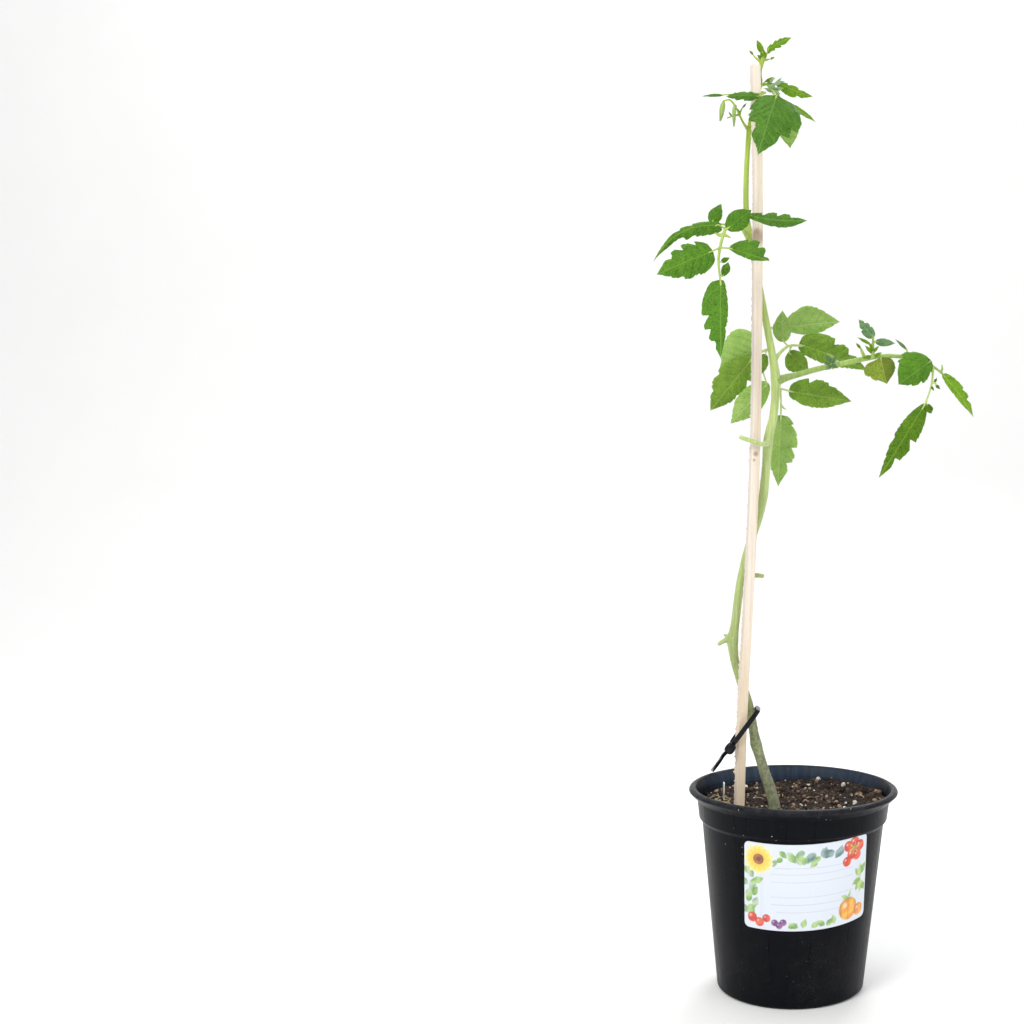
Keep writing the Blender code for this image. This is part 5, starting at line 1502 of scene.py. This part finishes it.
def make_top_leaves():
    leaflet("apex_leaflet_left", ((-35.5, -11.6, 753.0), (-40.0, -14.0, 762.5)), 2.8, 2.8, "leaf_young",
            fold=22.0, bow=0.8)
    leaflet("apex_leaflet_right", ((-31.0, -9.4, 755.6), (-12.0, -13.0, 765.0)), 3.9, 4.0, "leaf_young",
            sweep=0.8, peak=0.42, lobes_left=((0.26, 2.0, 0.07), (0.48, 1.3, 0.06), (0.68, 0.8, 0.05)),
            lobes_right=((0.3, 1.3, 0.06), (0.55, 0.9, 0.05)))
    small_leaves("apex_leaves", APEX_LEAVES, "leaf_young", "leaf_young")
    small_leaves("crown_leaves", CROWN_LEAVES, "leaf_dark", "leaf_pale")
    right = ((-23.0, 3.0, 733.0), (6.0, 8.0, 723.0))
    front = ((-23.5, -34.0, 711.0), (-36.0, -60.0, 660.5))
    behind = ((-15.0, 8.0, 708.0), (-12.0, 16.0, 682.0))
    narrow = ((-12.0, 8.0, 716.0), (9.0, 12.0, 703.0))
    tiny = ((-33.0, -5.0, 731.0), (-25.5, -6.0, 735.0))
    branches = [
        toward_blade((-35.0, -6.0, 728.3), *tiny, radius=0.5),
        toward_blade((-24.5, 2.0, 731.0), *right),
        toward_blade((-31.0, -3.0, 729.5), *front, via=(-25.0, -20.0, 718.0), radius=0.9),
        toward_blade((-27.0, 0.5, 730.5), *behind, via=(-20.0, 5.0, 719.0), radius=0.8),
        toward_blade((-21.5, 4.6, 721.0), *narrow),
    ]
    stalk("top_leaf_stalk", [(-37.5, -8.0, 727.0, 1.1), (-32.0, -3.5, 729.5, 1.0), (-24.0, 2.4, 731.2, 0.9)],
          branches)
    leaflet("top_leaflet_tiny", tiny, 1.2, 1.2, "leaf_young", wave=0.2)
    leaflet("top_leaflet_right", right, 4.0, 6.2, "leaf_young", fold=24.0, bow=2.0, sweep=-1.2, peak=0.42,
            lobes_left=((0.3, 1.6, 0.06), (0.6, 0.9, 0.06)), lobes_right=((0.62, 1.0, 0.06),))
    leaflet("top_leaflet_front", front, 26.0, 18.0, "leaf_dark", fold=12.0, bow=4.0, peak=0.26,
            lobes_left=((0.16, 2.0, 0.05), (0.45, 2.8, 0.06), (0.63, 3.0, 0.08)),
            lobes_right=((0.3, 2.4, 0.05), (0.56, 3.4, 0.08)), wave=1.2)
    leaflet("top_leaflet_behind", behind, 10.0, 9.5, "leaf_light", bow=-1.5)
    leaflet("top_leaflet_narrow", narrow, 2.6, 2.2, "leaf_young")
    left = ((-37.0, -28.5, 713.6), (-63.0, -31.0, 712.0))
    end = ((-66.0, -31.0, 713.2), (-82.0, -33.0, 711.5))
    path = [
        (-38.6, -8.0, 721.5, 1.0),
        (-32.8, -14.5, 720.0, 0.9),
        (-33.0, -22.5, 717.5, 0.8),
        (-38.0, -25.4, 716.3, 0.7),
        (-50.0, -26.2, 715.8, 0.6),
        (-66.6, -30.9, 713.3, 0.5),
    ]
    stalk("top_left_stalk", path, [toward_blade((-33.0, -22.5, 717.5), *left, radius=0.6)])
    leaflet("top_left_leaflet", left, 4.4, 4.6, "leaf_dark", tilt=10.0, fold=20.0, bow=2.0, peak=0.45,
            lobes_left=((0.5, 1.0, 0.06), (0.75, 0.7, 0.05)),
            lobes_right=((0.35, 0.9, 0.05), (0.65, 0.8, 0.05)))
    leaflet("top_left_leaflet_end", end, 1.4, 1.3, "leaf_dark", wave=0.3)


def bud_shape(top, foot, radius):
    """A closed flower bud: a ribbed spindle whose five sepals part a little at the tip."""
    top, foot = Vector(top), Vector(foot)
    run = foot - top
    length = run.length
    down = run.normalized()
    outline = [(0.0, 0.3), (0.05, 0.55), (0.1, 0.75), (0.2, 0.95), (0.32, 1.0), (0.48, 0.98), (0.62, 0.82),
               (0.76, 0.55), (0.86, 0.34), (0.93, 0.18)]
    centres = [top + run * t for t, _ in outline]
    rings = []
    for t, w in outline:
        ring = []
        for k in range(30):
            angle = 2.0 * math.pi * k / 30
            wide = radius * w * (1.0 + 0.11 * abs(math.cos(2.5 * angle)) * min(1.0, 4.0 * t))
            ring.append((wide * math.cos(angle), wide * math.sin(angle)))
        rings.append(ring)
    frames = frames_along(centres, (0.6, 0.6, 0.1))
    shapes = [swept(centres, frames, rings)]
    for k in range(5):
        angle = 2.0 * math.pi * (k + 0.5) / 5
        out = frames[0][0] * math.cos(angle) + frames[0][1] * math.sin(angle)
        rows = [
            (*(top + down * length * 0.62 + out * radius * 0.72), radius * 0.3),
            (*(top + down * length * 0.85 + out * radius * 0.38), radius * 0.24),
            (*(top + down * length * 1.0 + out * radius * (0.2 + 0.05 * k)), radius * 0.1),
        ]
        shapes.append(stem_shape(rows, sides=8, steps=3, ribs=0.0))
    collar = [(*(top - down * 0.4), radius * 0.42), (*(top + down * 0.9), radius * 0.55)]
    shapes.append(stem_shape(collar, sides=12, steps=2, ribs=0.06))
    return joined(shapes)


def make_buds():
    path = [
        (-44.8, -8.5, 690.0, 1.4),
        (-49.0, -16.0, 694.0, 1.0),
        (-53.0, -23.0, 700.5, 0.8),
        (-56.3, -29.5, 706.4, 0.65),
    ]
    branches = [
        [(-55.0, -27.0, 705.0, 0.8), (-60.0, -29.5, 709.8, 0.7), (-64.8, -31.0, 708.6, 0.6)],
        [(-52.5, -22.0, 700.0, 0.8), (-57.0, -24.0, 698.6, 0.7), (-62.0, -25.0, 696.5, 0.5)],
        [(-52.5, -22.0, 700.0, 0.8), (-51.0, -23.0, 704.0, 0.6), (-49.0, -24.0, 706.0, 0.4)],
    ]
    stalk("truss_stalk", path, branches)
    small_leaves("truss_leaves", TRUSS_LEAVES, "leaf_dark", "leaf_downy")
    for name, top, foot, radius in (("bud_long", (-64.9, -31.0, 708.4), (-67.2, -31.5, 692.5), 2.0),
                                    ("bud_short", (-56.5, -29.8, 705.8), (-56.4, -30.0, 688.5), 1.4)):
        bud = mesh_object("hanging_" + name, *bud_shape(top, foot, radius), BUD_GREEN)
        settle(bud, "bud_green", name)


def make_upper_leaf():
    pieces = {
        "a": ((-71.0, -46.0, 610.0), (-64.5, -44.0, 624.8)),
        "b": ((-67.0, -47.0, 607.5), (-115.0, -66.0, 575.0)),
        "c": ((-71.5, -58.0, 585.0), (-111.0, -76.0, 564.5)),
        "d": ((-59.0, -43.5, 606.0), (-41.0, -38.0, 621.5)),
        "e": ((-42.0, -34.0, 617.5), (3.0, -46.0, 612.5)),
        "f": ((-56.0, -57.0, 588.0), (-25.5, -68.0, 577.5)),
        "g": ((-63.0, -62.0, 560.5), (-61.0, -75.0, 501.5)),
        "h": ((-63.0, -55.0, 578.0), (-56.5, -56.0, 581.0)),
        "i": ((-61.6, -58.8, 566.6), (-57.4, -60.0, 577.0)),
    }
    branches = [
        toward_blade((-60.0, -40.0, 609.0), *pieces["a"], via=(-66.0, -45.0, 609.0)),
        toward_blade((-60.8, -41.8, 605.5), *pieces["b"]),
        toward_blade((-64.5, -50.5, 589.5), *pieces["c"]),
        toward_blade((-61.5, -42.5, 605.0), *pieces["d"]),
        toward_blade((-53.8, -30.0, 612.0), *pieces["e"], via=(-48.0, -31.0, 614.6)),
        toward_blade((-64.5, -50.5, 589.5), *pieces["f"]),
        toward_blade((-65.3, -54.5, 578.5), *pieces["h"], radius=0.5),
        toward_blade((-64.3, -59.2, 568.0), *pieces["i"], radius=0.5),
        [(-62.4, -44.6, 600.8, 0.7), (-65.5, -46.0, 600.0, 1.4), (-69.0, -47.0, 601.5, 0.4)],
        [(-62.4, -44.6, 600.8, 0.7), (-60.0, -46.5, 599.5, 1.2), (-56.5, -47.0, 598.0, 0.4)],
    ]
    path = [
        (-42.5, -9.0, 601.0, 1.9),
        (-46.5, -15.5, 606.5, 1.7),
        (-51.0, -25.0, 611.5, 1.5),
        (-57.0, -35.5, 611.5, 1.4),
        (-61.5, -43.0, 604.0, 1.3),
        (-64.5, -50.0, 590.0, 1.2),
        (-65.3, -55.0, 577.5, 1.0),
        (-63.0, -61.9, 561.2, 0.8),
        (-62.9, -62.4, 558.6, 0.6),
    ]
    stalk("upper_leaf_stalk", path, branches)
    leaflet("upper_leaflet_a", pieces["a"], 7.0, 5.4, "leaf_green", fold=25.0, bow=1.0)
    leaflet("upper_leaflet_b", pieces["b"], 8.5, 4.6, "leaf_green", fold=26.0, bow=1.5, sweep=-9.0, peak=0.2,
            lobes_left=((0.34, 1.2, 0.05), (0.52, 2.0, 0.13)),
            lobes_right=((0.3, 1.2, 0.05), (0.48, 0.7, 0.05)))
    leaflet("upper_leaflet_c", pieces["c"], 14.0, 14.5, "leaf_green", fold=10.0, bow=2.0, peak=0.36,
            blunt=0.4, lobes_left=((0.36, 1.4, 0.06), (0.62, 1.4, 0.06)),
            lobes_right=((0.2, 3.4, 0.05), (0.44, 3.6, 0.06), (0.66, 1.8, 0.06)))
    leaflet("upper_leaflet_d", pieces["d"], 9.0, 8.5, "leaf_green", fold=12.0, bow=1.0, peak=0.44)
    leaflet("upper_leaflet_e", pieces["e"], 5.4, 7.6, "leaf_dark", tilt=25.0, fold=20.0, sweep=-1.0, peak=0.5,
            blunt=0.4, lobes_left=((0.24, 1.6, 0.05), (0.5, 2.2, 0.06), (0.74, 1.2, 0.05)),
            lobes_right=((0.42, 0.9, 0.05),))
    leaflet("upper_leaflet_f", pieces["f"], 13.0, 4.0, "leaf_green", fold=12.0, bow=2.0, peak=0.5,
            lobes_left=((0.36, 3.0, 0.06), (0.66, 3.6, 0.06), (0.86, 2.4, 0.05)))
    leaflet("upper_leaflet_g", pieces["g"], 6.0, 15.5, "leaf_green", fold=14.0, bow=3.0, peak=0.36, blunt=0.4,
            lobes_left=((0.6, 0.6, 0.05),),
            lobes_right=((0.46, 5.5, 0.05), (0.64, 3.0, 0.05), (0.8, 1.8, 0.05)))
    leaflet("upper_leaflet_h", pieces["h"], 2.2, 2.2, "leaf_green", wave=0.3)
    leaflet("upper_leaflet_i", pieces["i"], 3.4, 4.0, "leaf_green", peak=0.5)


def make_back_leaf():
    pieces = {
        "a": ((-36.0, 34.0, 521.0), (-70.0, 56.0, 498.0)),
        "b": ((-41.5, 32.0, 508.0), (-76.0, 46.0, 465.5)),
        "c": ((-28.5, 24.0, 487.0), (-58.0, 34.0, 454.5)),
        "d": ((-29.5, 15.0, 511.0), (-33.0, 22.0, 495.5)),
    }
    branches = [
        toward_blade((-35.5, 22.0, 513.0), *pieces["a"]),
        toward_blade((-35.5, 22.0, 513.0), *pieces["c"], via=(-32.0, 26.0, 500.0)),
        toward_blade((-28.0, 4.0, 514.5), *pieces["d"], radius=0.55),
    ]
    path = [
        (-23.6, -9.0, 512.0, 1.7),
        (-26.0, -1.0, 514.5, 1.4),
        (-31.0, 10.0, 514.0, 1.2),
        (-35.5, 22.0, 513.0, 1.1),
        (-41.0, 31.5, 508.7, 0.9),
        (-43.0, 32.6, 506.2, 0.6),
    ]
    stalk("back_leaf_stalk", path, branches)
    leaflet("back_leaflet_a", pieces["a"], 8.0, 24.0, "leaf_light", fold=14.0, bow=-2.0, peak=0.42,
            blunt=0.45)
    leaflet("back_leaflet_b", pieces["b"], 12.5, 17.0, "leaf_green", fold=12.0, bow=3.0, peak=0.44,
            lobes_left=((0.3, 2.6, 0.06), (0.55, 1.4, 0.06)),
            lobes_right=((0.5, 2.0, 0.06), (0.74, 1.0, 0.05)), look="leaf_shaded")
    leaflet("back_leaflet_c", pieces["c"], 11.0, 12.0, "leaf_light", fold=12.0, bow=2.0, peak=0.44)
    leaflet("back_leaflet_d", pieces["d"], 4.5, 7.5, "leaf_green", look="leaf_shaded", peak=0.45)


def make_right_leaves():
    pieces = {
        "a": ((-15.0, 20.0, 524.0), (-16.2, 27.0, 549.5)),
        "b": ((1.0, 28.0, 521.0), (56.5, 42.0, 501.5)),
        "c": ((-9.5, 18.0, 513.4), (6.6, 26.0, 499.8)),
    }
    branches = [
        toward_blade((-10.5, 12.5, 518.5), *pieces["a"]),
        toward_blade((-8.0, 14.0, 519.0), *pieces["c"]),
    ]
    path = [
        (-21.4, -9.2, 505.5, 1.6),
        (-16.5, 2.0, 513.0, 1.3),
        (-9.5, 13.0, 519.0, 1.1),
        (0.5, 27.7, 520.2, 0.9),
        (2.6, 28.4, 520.4, 0.6),
    ]
    stalk("right_leaf_stalk", path, branches)
    leaflet("right_leaflet_a", pieces["a"], 9.0, 7.5, "leaf_light", fold=12.0, bow=-1.5, peak=0.42)
    leaflet("right_leaflet_b", pieces["b"], 15.5, 9.0, "leaf_green", fold=10.0, bow=2.0, sweep=0.5, peak=0.32,
            lobes_left=((0.45, 4.0, 0.06), (0.68, 2.6, 0.05)), lobes_right=((0.5, 1.2, 0.05),),
            look="leaf_shaded")
    leaflet("right_leaflet_c", pieces["c"], 7.6, 11.5, "leaf_green", look="leaf_shaded", fold=12.0, peak=0.42)
    high = ((-11.5, 32.0, 536.0), (32.5, 46.0, 542.5))
    path = [
        (-25.8, -8.7, 531.0, 1.3),
        (-27.0, 8.0, 533.5, 1.0),
        (-25.5, 27.0, 535.0, 0.9),
        (-17.5, 34.0, 536.0, 0.9),
        (-12.4, 32.0, 535.9, 0.8),
        (-9.8, 32.4, 536.2, 0.6),
    ]
    stalk("high_leaf_stalk", path, [])
    leaflet("high_leaflet", high, 16.5, 9.0, "leaf_light", fold=12.0, bow=-3.0, sweep=1.0, peak=0.46,
            lobes_left=((0.22, 1.2, 0.05),))


def make_lower_leaf():
    pieces = {
        "a": ((-7.0, 21.0, 481.5), (43.0, 34.0, 475.0)),
        "b": ((-15.8, 10.0, 459.0), (-17.0, 15.0, 403.0)),
    }
    branches = [
        [(-16.5, 4.0, 482.8, 0.8), (-15.8, 7.0, 474.0, 0.8),
         (-15.7, 9.8, 459.5, 0.8), (-15.8, 10.3, 457.0, 0.6)],
        [(-15.8, 7.6, 470.0, 0.7), (-13.5, 8.5, 467.5, 0.7), (-11.5, 9.0, 466.5, 0.4)],
    ]
    path = [
        (-19.3, -10.2, 480.0, 1.4),
        (-18.5, -2.0, 482.5, 1.2),
        (-15.0, 8.0, 483.0, 1.0),
        (-7.6, 20.6, 481.7, 0.8),
        (-5.4, 21.4, 481.4, 0.6),
    ]
    stalk("lower_leaf_stalk", path, branches)
    leaflet("lower_leaflet_a", pieces["a"], 14.5, 10.5, "leaf_green", fold=12.0, bow=2.0, peak=0.38,
            lobes_left=((0.3, 4.0, 0.06), (0.62, 1.2, 0.05)), lobes_right=((0.1, 1.0, 0.04),),
            look="leaf_shaded")
    leaflet("lower_leaflet_b", pieces["b"], 15.0, 12.5, "leaf_light", fold=12.0, bow=-2.0, peak=0.36,
            lobes_left=((0.12, 3.0, 0.04), (0.46, 4.0, 0.05), (0.68, 3.0, 0.05)),
            lobes_right=((0.6, 1.5, 0.06),))


def make_shoot_leaves():
    tip_up = ((58.6, 12.0, 527.5), (47.0, 16.0, 542.0))
    tip_right = ((61.5, 12.0, 523.5), (77.0, 8.0, 522.0))
    tip_left = ((56.5, 12.2, 521.5), (46.0, 14.0, 527.0))
    folded = ((65.5, 7.6, 509.0), (70.5, 3.0, 488.5))
    broad = ((105.5, 6.5, 507.5), (79.5, -2.0, 488.0))
    thin = ((86.5, 12.2, 517.8), (77.0, 12.0, 526.0))
    end = ((118.0, 12.0, 496.2), (143.0, 16.0, 463.0))
    leaflet("shoot_tip_leaflet_up", tip_up, 5.4, 5.4, "leaf_dark", look="leaf_downy", fold=20.0, bow=1.0,
            lobes_left=((0.55, 1.3, 0.07),), lobes_right=((0.45, 1.2, 0.07), (0.72, 0.8, 0.06)))
    leaflet("shoot_tip_leaflet_right", tip_right, 3.6, 3.6, "leaf_dark", look="leaf_downy", fold=20.0,
            bow=1.0)
    small_leaves("shoot_tip_leaves", TIP_LEAVES, "leaf_young", "leaf_young")
    small_leaves("shoot_rosette", ROSETTE_LEAVES, "leaf_dark", "leaf_downy")
    leaflet("shoot_tip_leaflet_left", tip_left, 1.5, 1.5, "leaf_young", wave=0.3)
    leaflet("shoot_leaflet_folded", folded, 11.5, 17.0, "leaf_olive", fold=22.0, bow=2.0, peak=0.3,
            blunt=0.35, lobes_right=((0.55, 1.2, 0.06),))
    leaflet("shoot_leaflet_broad", broad, 11.5, 19.0, "leaf_green", fold=12.0, bow=2.0, peak=0.42,
            lobes_left=((0.16, 1.6, 0.05), (0.5, 1.5, 0.06)),
            lobes_right=((0.22, 2.0, 0.05), (0.5, 2.2, 0.07)))
    leaflet("shoot_leaflet_thin", thin, 1.4, 1.4, "leaf_dark", look="leaf_downy", wave=0.3)
    leaflet("shoot_leaflet_end", end, 6.6, 4.2, "leaf_young", fold=16.0, bow=1.0, sweep=1.5, peak=0.38,
            lobes_left=((0.45, 1.4, 0.05), (0.66, 1.4, 0.05)))
    hanging = ((101.0, 7.0, 470.5), (65.0, 3.0, 411.5))
    small = ((104.0, 7.8, 472.5), (107.5, 7.0, 465.0))
    path = [
        (108.5, 12.0, 504.0, 1.0),
        (108.3, 11.4, 494.0, 0.9),
        (106.0, 9.5, 483.0, 0.8),
        (101.3, 7.0, 471.2, 0.7),
        (99.8, 6.8, 468.6, 0.5),
    ]
    branches = [
        toward_blade((103.6, 8.2, 476.5), *small, radius=0.5),
        [(107.6, 10.8, 490.0, 0.7), (110.0, 10.5, 490.5, 0.9), (112.0, 10.5, 488.0, 0.4)],
    ]
    stalk("hanging_stalk", path, branches)
    leaflet("hanging_leaflet", hanging, 10.5, 8.6, "leaf_green", fold=10.0, bow=2.0, peak=0.38, blunt=0.8,
            lobes_left=((0.44, 5.0, 0.05), (0.72, 2.6, 0.05)), lobes_right=((0.5, 1.0, 0.05),),
            look="leaf_deep")
    leaflet("hanging_leaflet_round", small, 3.4, 3.4, "leaf_dark", look="leaf_deep", wave=0.3, peak=0.5,
            blunt=0.4)
    small_leaves("hanging_stalk_leaves", HANGING_LEAVES, "leaf_dark", "leaf_deep")


def make_hairs(stem, shoot):
    """Fine pale hairs on the main stem and the side shoot."""
    grounds = (("stem_down", stem, "stem_green", 51), ("shoot_down", shoot, "shoot_green", 61))
    for name, ground, slot, seed in grounds:
        tree = hair_tree(name, HAIR_PALE, seed)
        down = strewn_over(name, ground, tree, density=900000.0, length=0.0014, radius=0.00007)
        settle(down, slot)


# Stage


# The sweep in metres: half its width, where it starts to bend up, its bend and its height.
SWEEP_REACH = 3.0
SWEEP_START = 1.4
SWEEP_BEND = 0.9
SWEEP_RISE = 3.2
# How far the floor lies under the pot, in millimetres.
FLOOR_GAP = 0.3

WORLD_STRENGTH = 0.66
# Each lamp: its name, place, the point it aims at, its size in metres, its power and its colour.
LAMPS = [
    ("key", (-0.9, -1.5, 1.7), (0.0, 0.0, 0.4), 0.9, 25.0, (1.0, 0.985, 0.96)),
    ("fill", (1.5, -1.0, 0.9), (0.0, 0.0, 0.4), 1.2, 7.0, (0.95, 0.975, 1.0)),
    ("back", (0.3, 1.2, 1.5), (0.0, 0.0, 0.45), 0.8, 14.0, (1.0, 1.0, 1.0)),
    ("backdrop", (-0.7, 0.9, 2.5), (-0.7, 2.3, 0.6), 2.0, 15.0, (1.0, 1.0, 1.0)),
]

CAMERA_PLACE = (0.0, -1.180, 0.426)
CAMERA_ROLL = -1.0
FOCAL_LENGTH = 50.9765625
SENSOR_WIDTH = 36.0
LENS_SHIFT = (-0.2805, -0.0518)
NEAREST = 0.05


def make_stage():
    """A pale floor that sweeps up into a backdrop."""
    profile = [(-SWEEP_REACH, 0.0)]
    for k in range(13):
        angle = math.radians(90.0 * k / 12)
        profile.append((SWEEP_START + SWEEP_BEND * math.sin(angle), SWEEP_BEND * (1.0 - math.cos(angle))))
    profile.append((SWEEP_START + SWEEP_BEND, SWEEP_RISE))
    points = [(x / MM, y / MM, z / MM - FLOOR_GAP) for y, z in profile for x in (-SWEEP_REACH, SWEEP_REACH)]
    faces = [(2 * i, 2 * i + 1, 2 * i + 3, 2 * i + 2) for i in range(len(profile) - 1)]
    mesh_object("studio_floor", points, faces, SWEEP)


def lamp(name, place, aim, size, power, colour):
    light = bpy.data.lights.new(name, "AREA")
    light.energy = power
    light.shape = "DISK"
    light.size = size
    light.color = colour
    made = bpy.data.objects.new(name, light)
    bpy.context.scene.collection.objects.link(made)
    made.location = place
    made.rotation_euler = (Vector(aim) - Vector(place)).to_track_quat("-Z", "Y").to_euler()


def make_light():
    world = bpy.data.worlds.new("soft_room")
    bpy.context.scene.world = world
    world.use_nodes = True
    world.node_tree.nodes["Background"].inputs["Color"].default_value = rgb(1.0, 1.0, 1.0)
    world.node_tree.nodes["Background"].inputs["Strength"].default_value = WORLD_STRENGTH
    for values in LAMPS:
        lamp(*values)


def make_camera():
    lens = bpy.data.cameras.new("camera")
    lens.sensor_width = SENSOR_WIDTH
    lens.lens = FOCAL_LENGTH
    lens.shift_x, lens.shift_y = LENS_SHIFT
    lens.clip_start = NEAREST
    camera = bpy.data.objects.new("camera", lens)
    bpy.context.scene.collection.objects.link(camera)
    camera.location = CAMERA_PLACE
    camera.rotation_euler = (math.radians(90.0), math.radians(CAMERA_ROLL), 0.0)
    bpy.context.scene.camera = camera
    bpy.context.scene.view_settings.view_transform = "Standard"


make_camera()
make_stage()
make_light()
make_pot()
make_mix()
make_straw()
make_label()
make_stake()
make_tie()
make_marker()
STEM = make_main_stem()
SHOOT = make_side_shoot()
make_top_leaves()
make_buds()
make_upper_leaf()
make_back_leaf()
make_right_leaves()
make_lower_leaf()
make_shoot_leaves()
make_hairs(STEM, SHOOT)
